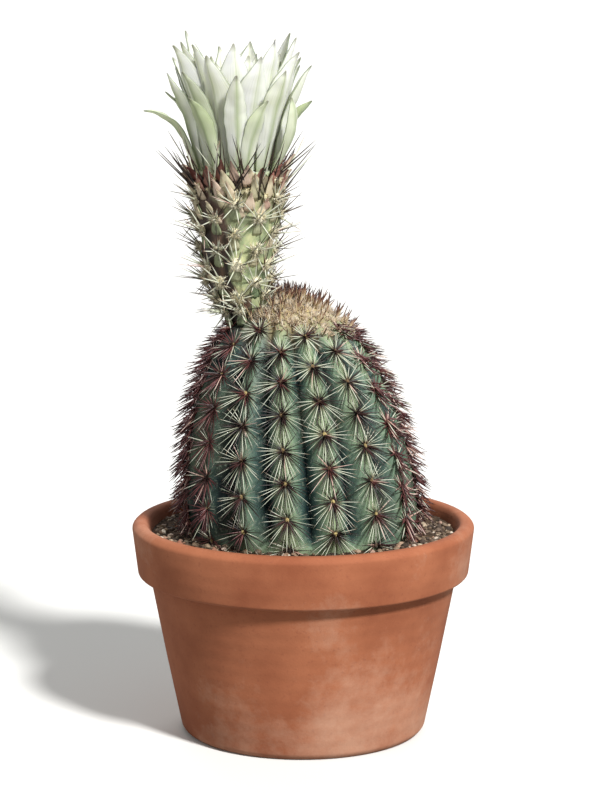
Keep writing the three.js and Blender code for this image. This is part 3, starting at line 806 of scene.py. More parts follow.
def makeTubeSkin():
    # skin of the flower tube: thin and smooth like a leaf, green, with brown-red stretches between the
    # scales that grow on the left into painted shade, the side away from the light, and a pinkish flush
    # under the rim
    material, tree, surface = newMaterial("flower_tube_skin")
    place = addNode(tree, "ShaderNodeTexCoord").outputs["Object"]
    parts = addNode(tree, "ShaderNodeSeparateXYZ", {"Vector": place})
    mottle = addNode(tree, "ShaderNodeTexNoise", {
        "Vector": place, "Scale": 190.0, "Detail": 5.0, "Roughness": 0.6})
    green = addNode(tree, "ShaderNodeValToRGB", {"Fac": mottle}, stops={
        0.28: "#465b42", 0.48: "#97a77d", 0.72: "#d4d5a2"})
    # the brown stretches run lengthwise, mostly on the left of the tube, where they are also painted shade
    stretched = addNode(tree, "ShaderNodeMapping", {"Vector": place, "Scale": (1.0, 1.0, 0.28)})
    streaks = addNode(tree, "ShaderNodeTexNoise", {"Vector": stretched, "Scale": 230.0, "Detail": 4.0})
    # the tube widens upwards, so the middle of the band runs aslant
    slant = 0.25
    aslant = addNode(tree, "ShaderNodeMath", {
        0: parts.outputs["Z"], 1: slant, 2: parts.outputs["X"]}, operation="MULTIPLY_ADD")
    footShift = slant * tubeFoot.z
    leftShade = addNode(tree, "ShaderNodeMapRange", {
        "Value": aslant, "From Min": footShift - 11 * mm, "From Max": footShift - 21 * mm,
        "To Min": -0.3, "To Max": 0.36})
    brownAndShadeShare = addNode(tree, "ShaderNodeMath", {0: streaks, 1: leftShade}, operation="ADD")
    brown = addNode(tree, "ShaderNodeValToRGB", {"Fac": streaks}, stops={
        0.35: "#1f1713", 0.5: "#3d2c23", 0.66: "#705949"})
    brownAndShadeMask = addNode(tree, "ShaderNodeMapRange", {"Value": brownAndShadeShare, "From Min": 0.46, "From Max": 0.6})
    # the ridges under the areoles are paler
    ridge = addNode(tree, "ShaderNodeAttribute", attribute_name="ridge").outputs["Fac"]
    ridgeShare = addNode(tree, "ShaderNodeMath", {0: ridge, 1: 0.6}, operation="MULTIPLY")
    ridged = addNode(tree, "ShaderNodeMixRGB", {"Fac": ridgeShare, "Color1": green, "Color2": "#bfbd94"})
    brownedAndShaded = addNode(tree, "ShaderNodeMixRGB", {"Fac": brownAndShadeMask, "Color1": ridged, "Color2": brown})
    flushFrom = tubeFoot.z + tubeLook["length"] * 0.62
    rim = tubeFoot.z + tubeLook["length"]
    rimMask = addNode(tree, "ShaderNodeMapRange", {
        "Value": parts.outputs["Z"], "From Min": flushFrom, "From Max": rim, "To Max": 0.6})
    flushed = addNode(tree, "ShaderNodeMixRGB", {"Fac": rimMask, "Color1": brownedAndShaded, "Color2": "#96766a"})
    bump = addNode(tree, "ShaderNodeBump", {"Strength": 0.35, "Distance": 0.2 * mm, "Height": streaks})
    setInputs(tree, surface, {
        "Base Color": flushed, "Roughness": 0.52, "Subsurface Weight": 0.1,
        "Subsurface Radius": (0.7, 1.0, 0.4), "Subsurface Scale": 1 * mm, "Normal": bump})
    return material


tube = makeTube()
finished(tube, makeTubeSkin(), "tube_skin", "flower_tube")
print("tube done:", len(tube.data.polygons), "faces")


# patterns that are copied by the hundred, each modelled once at unit size

def makeNeedle(name, sides=5, bend=0.0):
    # a spine: round, stout at the foot and drawn out to a point
    nothingSelected()
    bpy.ops.mesh.primitive_cylinder_add(vertices=sides, radius=1.0, depth=0.1, location=(0, 0, 0.05))
    needle = newPiece(name)
    placeApplied(needle)
    bpy.ops.object.mode_set(mode="EDIT")
    selectWhere(needle, lambda co: co.z > 0.05)
    reached = 0.1
    lastGirth = 1.0
    for height, girth in ((0.45, 0.8), (0.8, 0.5), (1.0, 0.06)):
        grow = girth / lastGirth
        lean = bend * (height ** 2 - reached ** 2)
        bpy.ops.mesh.extrude_region_move(TRANSFORM_OT_translate={"value": (lean, 0, height - reached)})
        bpy.ops.transform.resize(value=(grow, grow, 1), center_override=(bend * height ** 2, 0, height))
        reached = height
        lastGirth = girth
    bpy.ops.object.mode_set(mode="OBJECT")
    return needle


def makeTuft(name, hairs, spread):
    # a lock of wool: fine hairs from one root
    random = makeRandom(77)
    nothingSelected()
    locks = []
    for i in range(hairs):
        bpy.ops.mesh.primitive_cone_add(vertices=3, radius1=0.05, radius2=0.0, depth=1.0,
                                        location=(0, 0, 0.5))
        hair = newPiece(f"{name}_{i}")
        placeApplied(hair)
        turn = i * 2.4
        hair.rotation_euler = (math.sin(turn) * random(0.1, spread),
                               math.cos(turn) * random(0.1, spread), turn)
        hair.scale.z = random(0.7, 1.0)
        placeApplied(hair)
        locks.append(hair)
    return joined(name, locks)


def joined(name, pieces):
    nothingSelected()
    for piece in pieces:
        piece.select_set(True)
    bpy.context.view_layer.objects.active = pieces[0]
    bpy.ops.object.join()
    return newPiece(name)


def makeCushion(name):
    # an areole's pad of felt: a low lumpy mound
    nothingSelected()
    bpy.ops.mesh.primitive_ico_sphere_add(subdivisions=2, radius=1.0, location=(0, 0, 0))
    pad = newPiece(name)
    modifierApplied(pad, "DISPLACE", texture=clouds(0.55), strength=0.7, mid_level=0.5)
    return pad


def makeScalePattern(name):
    # a pointed scale: a small leaf, broad at the foot, keeled and bent out at the tip
    nothingSelected()
    breadths = [0.85, 1.0, 0.94, 0.76, 0.52, 0.28, 0.03]
    bulges = [0.0, -0.06, -0.1, -0.11, -0.11, -0.14, -0.24]
    rows = len(breadths) - 1
    bpy.ops.mesh.primitive_grid_add(x_subdivisions=4, y_subdivisions=rows, size=1.0, location=(0, 0.5, 0))
    scale = newPiece(name)
    placeApplied(scale)
    bpy.ops.object.mode_set(mode="EDIT")
    bpy.ops.mesh.select_all(action="SELECT")
    bpy.ops.transform.rotate(value=math.radians(-90), orient_axis="X", center_override=(0, 0, 0))
    for row, (breadth, bulge) in enumerate(zip(breadths, bulges)):
        selectWhere(scale, lambda co: abs(abs(co.z) - row / rows) < 0.01)
        bpy.ops.transform.resize(value=(breadth, 1, 1), center_override=(0, 0, 0))
        bpy.ops.transform.translate(value=(0, bulge, 0))
    selectWhere(scale, lambda co: abs(co.x) < 0.01)
    bpy.ops.transform.translate(value=(0, -0.1, 0))
    bpy.ops.object.mode_set(mode="OBJECT")
    modifierApplied(scale, "SOLIDIFY", thickness=0.09, offset=0.0)
    return scale


# materials of spines and wool

# the shade of a spine says its kind: pale, then dark to red, then pinkish
paleShade = 0.64
darkFrom = 0.66
darkShades = (0.68, 0.84)
pinkFrom = 0.85
pinkShade = 0.95


def makeSpineHorn(name, reds):
    # spines are dry horn: hard, a little glossy, cream with a brown foot, and some dark red-brown all along
    material, tree, surface = newMaterial(name)
    along = addNode(tree, "ShaderNodeAttribute", attribute_name="along").outputs["Fac"]
    shade = addNode(tree, "ShaderNodeAttribute", attribute_name="shade").outputs["Fac"]
    # the lower the shade of a pale spine, the shorter its dark foot
    footShade = addNode(tree, "ShaderNodeMath", {0: shade, 1: 2.0}, operation="POWER")
    shifted = addNode(tree, "ShaderNodeMath", {0: footShade, 1: -1.1, 2: along}, operation="MULTIPLY_ADD")
    pale = addNode(tree, "ShaderNodeValToRGB", {"Fac": shifted}, stops={
        0.0: "#35211a", 0.12: "#8a7c5c", 0.24: "#ced1b6",
        0.68: "#e2e3d1", 0.88: "#b79c80", 1.0: "#6d4638"})
    # and the greener and duller it is
    dullShare = addNode(tree, "ShaderNodeMapRange", {
        "Value": shade, "From Min": 0.2, "From Max": paleShade, "To Max": 0.6})
    dulled = addNode(tree, "ShaderNodeMixRGB", {"Fac": dullShare, "Color1": pale, "Color2": "#7d8c76"})
    black = addNode(tree, "ShaderNodeValToRGB", {"Fac": along}, stops={
        0.0: "#150e0d", 0.35: "#201613", 0.7: "#32231e", 1.0: "#1d1210"})
    red = addNode(tree, "ShaderNodeValToRGB", {"Fac": along}, stops=dict(zip((0.0, 0.35, 0.7, 1.0), reds)))
    redness = addNode(tree, "ShaderNodeMapRange", {
        "Value": shade, "From Min": darkShades[0], "From Max": darkShades[1]})
    dark = addNode(tree, "ShaderNodeMixRGB", {"Fac": redness, "Color1": black, "Color2": red})
    pink = addNode(tree, "ShaderNodeValToRGB", {"Fac": along}, stops={
        0.0: "#6b3a30", 0.25: "#c9a090", 0.8: "#e3c9bd", 1.0: "#7a4a40"})
    darkMask = addNode(tree, "ShaderNodeMath", {0: shade, 1: darkFrom}, operation="GREATER_THAN")
    pinkMask = addNode(tree, "ShaderNodeMath", {0: shade, 1: pinkFrom}, operation="GREATER_THAN")
    first = addNode(tree, "ShaderNodeMixRGB", {"Fac": darkMask, "Color1": dulled, "Color2": dark})
    second = addNode(tree, "ShaderNodeMixRGB", {"Fac": pinkMask, "Color1": first, "Color2": pink})
    setInputs(tree, surface, {"Base Color": second, "Roughness": 0.42, "IOR": 1.54})
    return material


def makeWool(name, dark, middle, light):
    # wool of an areole: short felted plant hair, matt, with shadow between the hairs
    material, tree, surface = newMaterial(name)
    place = addNode(tree, "ShaderNodeTexCoord").outputs["Object"]
    shade = addNode(tree, "ShaderNodeAttribute", attribute_name="shade").outputs["Fac"]
    hairs = addNode(tree, "ShaderNodeTexNoise", {"Vector": place, "Scale": 2600.0, "Detail": 3.0})
    tone = addNode(tree, "ShaderNodeMath", {0: hairs, 1: shade, 2: 0.2}, operation="MULTIPLY_ADD")
    wool = addNode(tree, "ShaderNodeValToRGB", {"Fac": tone}, stops={0.2: dark, 0.42: middle, 0.7: light})
    bump = addNode(tree, "ShaderNodeBump", {"Strength": 0.8, "Distance": 0.3 * mm, "Height": hairs})
    setInputs(tree, surface, {
        "Base Color": wool, "Roughness": 0.95, "Sheen Weight": 0.4, "Sheen Roughness": 0.5, "Normal": bump})
    return material


# spines of the stem

spineLook = {
    "radials": 33,
    "upLength": 5.4 * mm,
    "downLength": 9.9 * mm,
    "crowding": 0.32,
    "girth": 0.155 * mm,
    "sideGirth": 0.23 * mm,
    "darkGirth": 1.35,
    "lift": math.radians(17),
    "sideLift": math.radians(24),
    "sideReach": 4.3 * mm,
    "sideLength": 0.72,
    "darkShare": 0.41,
    "sideDarkShare": 0.74,
    "leftShadeShare": 0.22,
    "pinkShare": 0.02,
    "sidePinkShare": 0.18,
    "centrals": 11,
    "sideCentrals": 9,
    "centralLength": 6.4 * mm,
    "centralGirth": 0.25 * mm,
    "clearOfTube": 1.2 * mm,
    "padHeight": 0.9 * mm,
    "padWidth": 0.68 * mm,
    "padThickness": 0.6 * mm,
}
needle = makeNeedle("needle", sides=4)
bentNeedle = makeNeedle("bent_needle", bend=0.07)
cushion = makeCushion("felt_pad")
tuft = makeTuft("wool_lock", 6, 0.7)


def spineShade(draw, darkShare, pinkShare):  # where more spines are dark, they are also redder
    if draw < darkShare:
        return mix(*darkShades, smoothStep(darkShare, 0.41, 0.62))
    if draw < darkShare + pinkShare:
        return pinkShade
    return paleShade * ((draw * 7.31) % 1)


def insideStem(point, spare):
    z = point.z - soilLevel
    if z < 0 or z > stemLook["height"] + spare:
        return False
    return math.hypot(point.x - stemShift(z), point.y) < crestRadius(min(z, stemLook["height"])) + spare


def makeStemSpines():
    look = spineLook
    random = makeRandom(907)
    radials = []
    centrals = []
    pads = []
    for areole in areolePlaces:
        if areole["crown"]:
            continue
        out, up, side = crestFrame(areole["angle"], areole["arc"])
        seat = stemPoint(areole["angle"], areole["z"], stemLook["podium"] * 0.8)
        if insideTube(seat, 1.5 * mm):
            continue
        young = mix(0.72, 1.0, smoothStep(areole["radius"], 16 * mm, 27 * mm))
        pad = areolePad(seat, out, up, side, look["padHeight"] * young, look["padWidth"] * young,
                        look["padThickness"])
        pads.append((pad, random(0, 1)))
        sideways = smoothStep(abs(math.sin(areole["angle"])), 0.7, 0.97)
        # a share of the radials is dark: partly dark spines, partly painted shadow for the dark lines beside
        # the pale ones
        darkShare = mix(look["darkShare"], look["sideDarkShare"], sideways)
        # painted shade: on the left, the side away from the light, still more of the spines are dark
        darkShare += look["leftShadeShare"] * smoothStep(-math.sin(areole["angle"]), 0.4, 0.8)
        pinkShare = mix(look["pinkShare"], look["sidePinkShare"], sideways)
        for i in range(look["radials"]):
            turn = 2 * math.pi * (i + random(-0.28, 0.28)) / look["radials"]
            turn += look["crowding"] * math.sin(turn)
            down = (1 - math.cos(turn)) / 2
            length = mix(look["upLength"], look["downLength"], down) * random(0.88, 1.12) * young
            length *= mix(1, look["sideLength"], sideways * down)
            lift = look["lift"] + look["sideLift"] * sideways * (2 * down - 1) + math.radians(random(-9, 10))
            aim = raisedAim(out, up, side, turn, lift)
            foot = seat + (up * math.cos(turn) + side * math.sin(turn)) * 0.45 * mm
            foot += up * random(-1, 1) * look["sideReach"] * sideways * down
            tip = foot + aim * length
            if insideTube(tip, look["clearOfTube"]) or tip.z < soilLevel - 3 * mm:
                continue
            shade = spineShade(random(0, 1), darkShare, pinkShare)
            girth = mix(look["girth"], look["sideGirth"], sideways) * random(0.8, 1.2)
            if shade > darkFrom:
                girth *= mix(look["darkGirth"], 1, sideways)
            radials.append((standing(foot, aim, length, girth), shade))
        # the centrals of one areole are alike in redness
        reddish = random(0, 1) ** 1.5
        for i in range(look["centrals"] + int(look["sideCentrals"] * sideways + random(0, 2.99))):
            turn = math.pi + math.radians(random(-1, 1) * random(30, 180)) * (1 - 0.5 * sideways)
            lift = math.radians(random(24, 76) - 14 * sideways)
            length = look["centralLength"] * random(0.5, 1.2) * young
            start = seat + up * random(-1, 1) * look["sideReach"] * sideways
            aim = raisedAim(out, up, side, turn, lift)
            tip = start + aim * length
            if insideTube(tip, look["clearOfTube"]) or tip.z < soilLevel + 0.5 * mm:
                continue
            foot = start - out * 0.5 * mm
            redness = max(reddish, sideways * random(0.6, 1))
            shade = pinkShade if random(0, 1) < pinkShare * 0.7 else mix(*darkShades, redness)
            centrals.append((standing(foot, aim, length, look["centralGirth"]), shade))
    return radials, centrals, pads


def areolePad(seat, out, up, side, tall, wide, thick):
    rows = Matrix((side * wide, up * tall, out * thick)).transposed().to_4x4()
    rows.translation = seat
    return np.array(rows)


crownLook = {
    "reach": 17.5 * mm,
    "shift": 2.6 * mm,
    "tufts": 1500,
    "tuftLength": 2.8 * mm,
    "spinesPerAreole": 7,
    "looseSpines": 280,
    "bareFront": -5 * mm,
    "looseReach": 20 * mm,
    "spineLength": 5.8 * mm,
    "girth": 0.3 * mm,
    "clearOfTube": 0.8 * mm,
}


def crownSpot(random, reach):
    # a random spot of the crown, whose middle lies a little to the right of the axis
    radius = reach * math.sqrt(random(0.0005, 1))
    angle = random(0, 2 * math.pi)
    across = radius * math.sin(angle) + crownLook["shift"]
    deep = -radius * math.cos(angle)
    return crownPoint(math.hypot(across, deep), math.atan2(across, -deep))


def crownPoint(radius, angle):
    # only the upper half of the dome, where the radius falls steadily
    upper = meridianHeights > 30 * mm
    radii = np.array([crestRadius(z) for z in meridianHeights[upper]])
    z = float(np.interp(radius, radii[::-1], meridianHeights[upper][::-1]))
    arc = arcAtHeight(z)
    out, up, side = crestFrame(angle, max(arc, 1 * mm))
    return stemPoint(angle, z), out, up, side


def makeCrown():
    look = crownLook
    random = makeRandom(5519)
    tufts = []
    spines = []
    for _ in range(look["tufts"]):
        point, out, up, side = crownSpot(random, look["reach"])
        if insideTube(point, 0.6 * mm):
            continue
        lean = (side * random(-1, 1) + up * random(-1, 1)) * 0.55
        length = look["tuftLength"] * random(0.7, 1.3)
        lock = standing(point - out * 0.4 * mm, out + lean, length, length, random(0, 6))
        tufts.append((lock, random(0, 1)))
    for areole in areolePlaces:
        if not areole["crown"]:
            continue
        out, up, side = crestFrame(areole["angle"], areole["arc"])
        seat = stemPoint(areole["angle"], areole["z"])
        if insideTube(seat, 1.2 * mm):
            continue
        count = look["spinesPerAreole"] if seat.y > look["bareFront"] else look["spinesPerAreole"] // 2
        for _ in range(count):
            spread = side * random(-0.75, 0.75) + up * random(-0.55, 0.75)
            aim = (out + spread + Vector((0, 0, 0.35))).normalized()
            length = look["spineLength"] * random(0.65, 1.15)
            if insideTube(seat + aim * length, look["clearOfTube"]):
                continue
            spines.append((standing(seat, aim, length, look["girth"]), random(0, 1)))
    for _ in range(look["looseSpines"]):
        point, out, up, side = crownSpot(random, look["looseReach"])
        if point.y < look["bareFront"] and random(0, 1) < 0.78:
            continue
        aim = (out + side * random(-0.45, 0.45) + up * random(-0.4, 0.5) + Vector((0, 0, 0.3))).normalized()
        length = look["spineLength"] * random(0.6, 1.1)
        if any(insideTube(end, look["clearOfTube"]) for end in (point, point + aim * length)):
            continue
        spines.append((standing(point, aim, length, look["girth"]), random(0, 1)))
    return tufts, spines


def makeCrownHorn():
    # young spines: straw coloured, with dark red-brown points
    material, tree, surface = newMaterial("young_spine_horn")
    along = addNode(tree, "ShaderNodeAttribute", attribute_name="along").outputs["Fac"]
    shade = addNode(tree, "ShaderNodeAttribute", attribute_name="shade").outputs["Fac"]
    place = addNode(tree, "ShaderNodeMath", {0: shade, 1: 0.33, 2: along}, operation="MULTIPLY_ADD")
    tone = addNode(tree, "ShaderNodeValToRGB", {"Fac": place}, stops={
        0.0: "#94805a", 0.42: "#c3b088", 0.66: "#94705a", 0.86: "#583429", 1.0: "#321b17"})
    setInputs(tree, surface, {"Base Color": tone, "Roughness": 0.45, "IOR": 1.54})
    return material


radials, centrals, pads = makeStemSpines()
stemHorn = makeSpineHorn("spine_horn", ("#301819", "#6f403d", "#54292a", "#261213"))
finished(copiesOf("radial_spines", needle, radials), stemHorn, "cactus_skin")
finished(copiesOf("central_spines", needle, centrals), stemHorn, "cactus_skin")
areoleFelt = makeWool("areole_felt", "#21140e", "#6a5132", "#bfab6e")
finished(copiesOf("areole_felt", cushion, pads), areoleFelt, "cactus_skin")
crownTufts, crownSpines = makeCrown()
crownWool = makeWool("crown_wool", "#94795a", "#bfa784", "#e2d3b8")
finished(copiesOf("crown_felt", tuft, crownTufts), crownWool, "cactus_skin")
finished(copiesOf("crown_spines", needle, crownSpines), makeCrownHorn(), "cactus_skin")
print("spines done:", len(radials), "radials,", len(centrals), "centrals,", len(crownSpines), "in the crown")


# scales, wool and spines of the flower tube

tubeDress = {
    "scaleLength": 5.6 * mm,
    "scaleWidth": 3.3 * mm,
    "scaleTilt": 0.12,
    "scaleLift": 0.35 * mm,
    "belowAreole": 4.6 * mm,
    # rows of rim scales: count, first turn, foot below the rim, length, width and tilt
    "rimRows": [
        (11, 0.0, 13.0, 6.2, 3.3, 4),
        (13, 0.5, 10.0, 7.0, 3.7, 5),
        (15, 0.0, 7.0, 7.6, 4.1, 6),
        (17, 0.4, 3.8, 7.8, 4.3, 8),
        (20, 0.9, 0.6, 7.6, 4.4, 10),
    ],
    "footAreoles": 7,
    "wool": 2.5 * mm,
    "locks": 38,
    "rimLocks": 14,
    "spines": 14,
    "spineLength": 8.6 * mm,
    "girth": 0.18 * mm,
    "paleGirth": 0.27 * mm,
    "rimAreoles": 28,
    "rimBand": 6 * mm,
    "rimSpread": 2 * mm,
    "rimSpines": 2,
    "frontRimSpines": 4,
    "rimPaleShare": 0.22,
    "rimSpineLength": 17 * mm,
    "rimGirth": 0.26 * mm,
}


def scaleMatrix(angle, s, length, width, tilt, lean=0.0):
    # a scale standing on the tube: its point up, its back outwards, tilted out by its tip and leaning aside
    out, up, side = tubeFrame(angle, s)
    up, side = up * math.cos(lean) + side * math.sin(lean), side * math.cos(lean) - up * math.sin(lean)
    aim = up * math.cos(tilt) + out * math.sin(tilt)
    back = out * math.cos(tilt) - up * math.sin(tilt)
    rows = Matrix((side * width, -back * width, aim * length)).transposed().to_4x4()
    rows.translation = tubePoint(angle, s, tubeDress["scaleLift"])
    return np.array(rows)


def dressAreoles(random, dress):
    look = tubeDress
    footPlaces = [{"row": 0, "angle": (i + random(-0.2, 0.2)) * 2 * math.pi / look["footAreoles"],
                   "s": random(0.6, 1.8) * mm} for i in range(look["footAreoles"])]
    for place in scalePlaces + footPlaces:
        angle, s = place["angle"], place["s"]
        out, up, side = tubeFrame(angle, s)
        seat = tubePoint(angle, s, tubeLook["bulge"] * 0.7)
        scale = scaleMatrix(angle, s - look["belowAreole"], look["scaleLength"], look["scaleWidth"],
                            look["scaleTilt"])
        dress["scales"].append((scale, random(0.05, 0.4) + 0.02 * place["row"]))
        size = look["wool"] * random(0.8, 1.15)
        woolSeat = seat + up * 0.6 * mm + out * 0.6 * mm
        pad = areolePad(woolSeat, out, up, side, size * random(0.5, 0.85), size * random(0.4, 0.65),
                        size * 0.4)
        dress["wools"].append((pad, random(0.55, 1.2)))
        for _ in range(look["locks"]):
            lean = side * random(-1, 1) + up * random(-0.8, 0.8)
            lock = standing(woolSeat + lean * size * 0.55, out + lean * 1.1, size * random(0.55, 1.1),
                            size * 1.2, random(0, 6))
            dress["locks"].append((lock, random(0.4, 1.3)))
        darkShare = mix(0.22, 0.6, smoothStep(abs(math.sin(angle)), 0.6, 0.95))
        for i in range(look["spines"]):
            turn = 2 * math.pi * (i + random(-0.8, 0.8)) / look["spines"]
            # two thirds of them are drawn towards the tip of the tube
            if i % 3:
                turn = random(-1.15, 1.15)
            lift = math.radians(random(10, 62))
            aim = raisedAim(out, up, side, turn, lift)
            length = look["spineLength"] * random(0.45, 1.1) * (1.25 if i % 3 else 1)
            shade = spineShade(random(0, 1), darkShare, 0.05)
            # the pale ones have hardly any dark foot
            if shade < darkFrom:
                shade *= 0.55
            if insideStem(seat + aim * length, 0.3 * mm):
                continue
            girth = look["girth"] if shade > darkFrom else look["paleGirth"]
            dress["spines"].append((standing(seat, aim, length, girth, random(0, 6)), shade))


def dressRim(random, dress):
    look = tubeDress
    for count, first, below, length, width, tilt in look["rimRows"]:
        for i in range(count):
            angle = (i + first + random(-0.22, 0.22)) * 2 * math.pi / count
            s = tubeLook["length"] - max(0.0, below + random(-1.3, 1.3)) * mm
            tone = random(0.45, 0.97) if below < 1 else 0.38 + 0.5 * random(0, 1) ** 2
            tall = length * mm * random(0.55, 1.15)
            wide = width * mm * random(0.6, 1.1)
            tipped = math.radians(tilt + random(-4, 12))
            dress["scales"].append((scaleMatrix(angle, s, tall, wide, tipped, random(-0.35, 0.35)), tone))
    for i in range(look["rimAreoles"]):
        angle = (i + random(-0.15, 0.15)) * 2 * math.pi / look["rimAreoles"]
        s = tubeLook["length"] - random(0.1, 1) * look["rimBand"]
        out, up, side = tubeFrame(angle, s)
        seat = tubePoint(angle, s, 1.3 * mm)
        size = random(0.8, 1.6) * mm
        pad = areolePad(seat, out, up, side, size * 0.6, size * 0.45, size * 0.4)
        dress["wools"].append((pad, random(0.3, 0.9)))
        for _ in range(look["rimLocks"]):
            lean = side * random(-1, 1) + up * random(-1, 1)
            lock = standing(seat + lean * size * 0.5, out + lean * 0.9, size * random(0.7, 1.4), size * 0.9,
                            random(0, 6))
            dress["locks"].append((lock, random(0, 1)))
        sideways = smoothStep(abs(math.sin(angle)), 0.3, 0.8)
        mostOut = mix(0.42, 0.85, sideways)
        for _ in range(look["frontRimSpines"] if math.cos(angle) > 0.2 else look["rimSpines"]):
            aim = (up + out * random(0.15, mostOut) + side * random(-0.7, 0.7)).normalized()
            length = look["rimSpineLength"] * random(0.5, 1.2)
            shade = random(0, 0.4) if random(0, 1) < look["rimPaleShare"] else random(0.67, 0.77)
            foot = seat - out * mm + (side * random(-1, 1) + up * random(-1, 1)) * look["rimSpread"]
            dress["spines"].append((standing(foot, aim, length, look["rimGirth"], random(0, 6)), shade))


def makeScaleLeaf():
    # scales of the tube: thin dry bracts, pinkish tan to dark wine red, green at the foot of the tube
    material, tree, surface = newMaterial("dry_bract")
    shade = addNode(tree, "ShaderNodeAttribute", attribute_name="shade").outputs["Fac"]
    along = addNode(tree, "ShaderNodeAttribute", attribute_name="along").outputs["Fac"]
    place = addNode(tree, "ShaderNodeTexCoord").outputs["Object"]
    tone = addNode(tree, "ShaderNodeValToRGB", {"Fac": shade}, stops={
        0.0: "#657c59", 0.3: "#9ca380", 0.45: "#d8caa9", 0.62: "#d9c2ad",
        0.78: "#ad8372", 0.92: "#74382e", 1.0: "#47241d"})
    tipShade = addNode(tree, "ShaderNodeMapRange", {
        "Value": along, "From Min": 0.6, "From Max": 1.0, "To Max": 0.6})
    tipped = addNode(tree, "ShaderNodeMixRGB", {"Fac": tipShade, "Color1": tone, "Color2": "#5b2a24"})
    fibres = addNode(tree, "ShaderNodeMapping", {"Vector": place, "Scale": (2.6, 2.6, 0.4)})
    streaks = addNode(tree, "ShaderNodeTexNoise", {"Vector": fibres, "Scale": 900.0, "Detail": 4.0})
    streaked = addNode(tree, "ShaderNodeMixRGB", {
        "Fac": 0.8, "Color1": tipped, "Color2": streaks}, blend_type="SOFT_LIGHT")
    bump = addNode(tree, "ShaderNodeBump", {"Strength": 0.4, "Distance": 0.15 * mm, "Height": streaks})
    setInputs(tree, surface, {"Base Color": streaked, "Roughness": 0.6, "Normal": bump})
    return material


scalePattern = makeScalePattern("scale")
tubeDraws = makeRandom(613)
dress = {"scales": [], "wools": [], "locks": [], "spines": []}
dressAreoles(tubeDraws, dress)
dressRim(tubeDraws, dress)
finished(copiesOf("tube_scales", scalePattern, dress["scales"]), makeScaleLeaf(), "tube_skin")
tubeWool = makeWool("tube_wool", "#b5a26b", "#ddd0a2", "#f4edd2")
finished(copiesOf("tube_wool", cushion, dress["wools"]), tubeWool, "tube_skin")
finished(copiesOf("tube_wool_hairs", tuft, dress["locks"]), tubeWool, "tube_skin")
tubeHorn = makeSpineHorn("tube_spine_horn", ("#271a14", "#43301f", "#5c4533", "#2b1d17"))
finished(copiesOf("tube_spines", bentNeedle, dress["spines"]), tubeHorn, "tube_skin")
print("tube dressed:", len(dress["scales"]), "scales,", len(dress["spines"]), "spines")


# the tepals: each blade is shaped on its own

tepalLook = {
    "columns": 8,
    "rows": 24,
    "widest": 0.62,
    "base": 0.5 * mm,
    "thickness": 0.42 * mm,
    "waves": 2.0 * mm,
    "waveLength": 10 * mm,
    "creases": 0.9 * mm,
    "creaseLength": 3.6 * mm,
    # rings of blades: lengths, widths and radii in millimetres, tilts and curls in degrees. "green" is the
    # least share of the greener body colour. Three outer blades of the front have bends of their own
    "special": [
        {"ring": 31, "blade": 6, "tilt": 19, "curl": 68, "sway": 0, "twist": 10},
        {"ring": 31, "blade": 0, "tilt": 12, "curl": 10, "sway": 20, "twist": -25},
        {"ring": 31, "blade": 1, "tilt": 36, "curl": -58, "sway": -8, "twist": 15},
    ],
    "outerRings": [
        {"count": 8, "length": 27, "width": 5.8, "radius": 12.5, "tilt": 17, "curl": 32,
         "turn": 0.35, "seed": 31, "green": 0.55},
        {"count": 9, "length": 35, "width": 8.0, "radius": 11.6, "tilt": 15.5, "curl": 11,
         "turn": 0.1, "seed": 32, "green": 0.12},
    ],
    "innerRings": [
        {"count": 9, "length": 39.5, "width": 11.2, "radius": 10.25, "tilt": 13.5, "curl": 6,
         "turn": 0.5, "seed": 33, "green": 0.2},
        {"count": 9, "length": 42.3, "width": 10.8, "radius": 9.35, "tilt": 10.5, "curl": 4,
         "turn": 0.12, "seed": 34, "green": 0.1},
        {"count": 8, "length": 37, "width": 9.2, "radius": 8.5, "tilt": 6.5, "curl": 4,
         "turn": 0.4, "seed": 35, "green": 0.3},
    ],
}


def bladeBreadth(share):
    widest = tepalLook["widest"]
    if share < widest:
        return 0.44 + 0.56 * math.sin(share / widest * math.pi / 2)
    rest = min(1.0, (share - widest) / (1 - widest))
    # broad shoulders and a short sharp point
    return max(0.03, (1 - rest ** 1.75) * (1 - 0.2 * smoothStep(rest, 0.75, 1)))


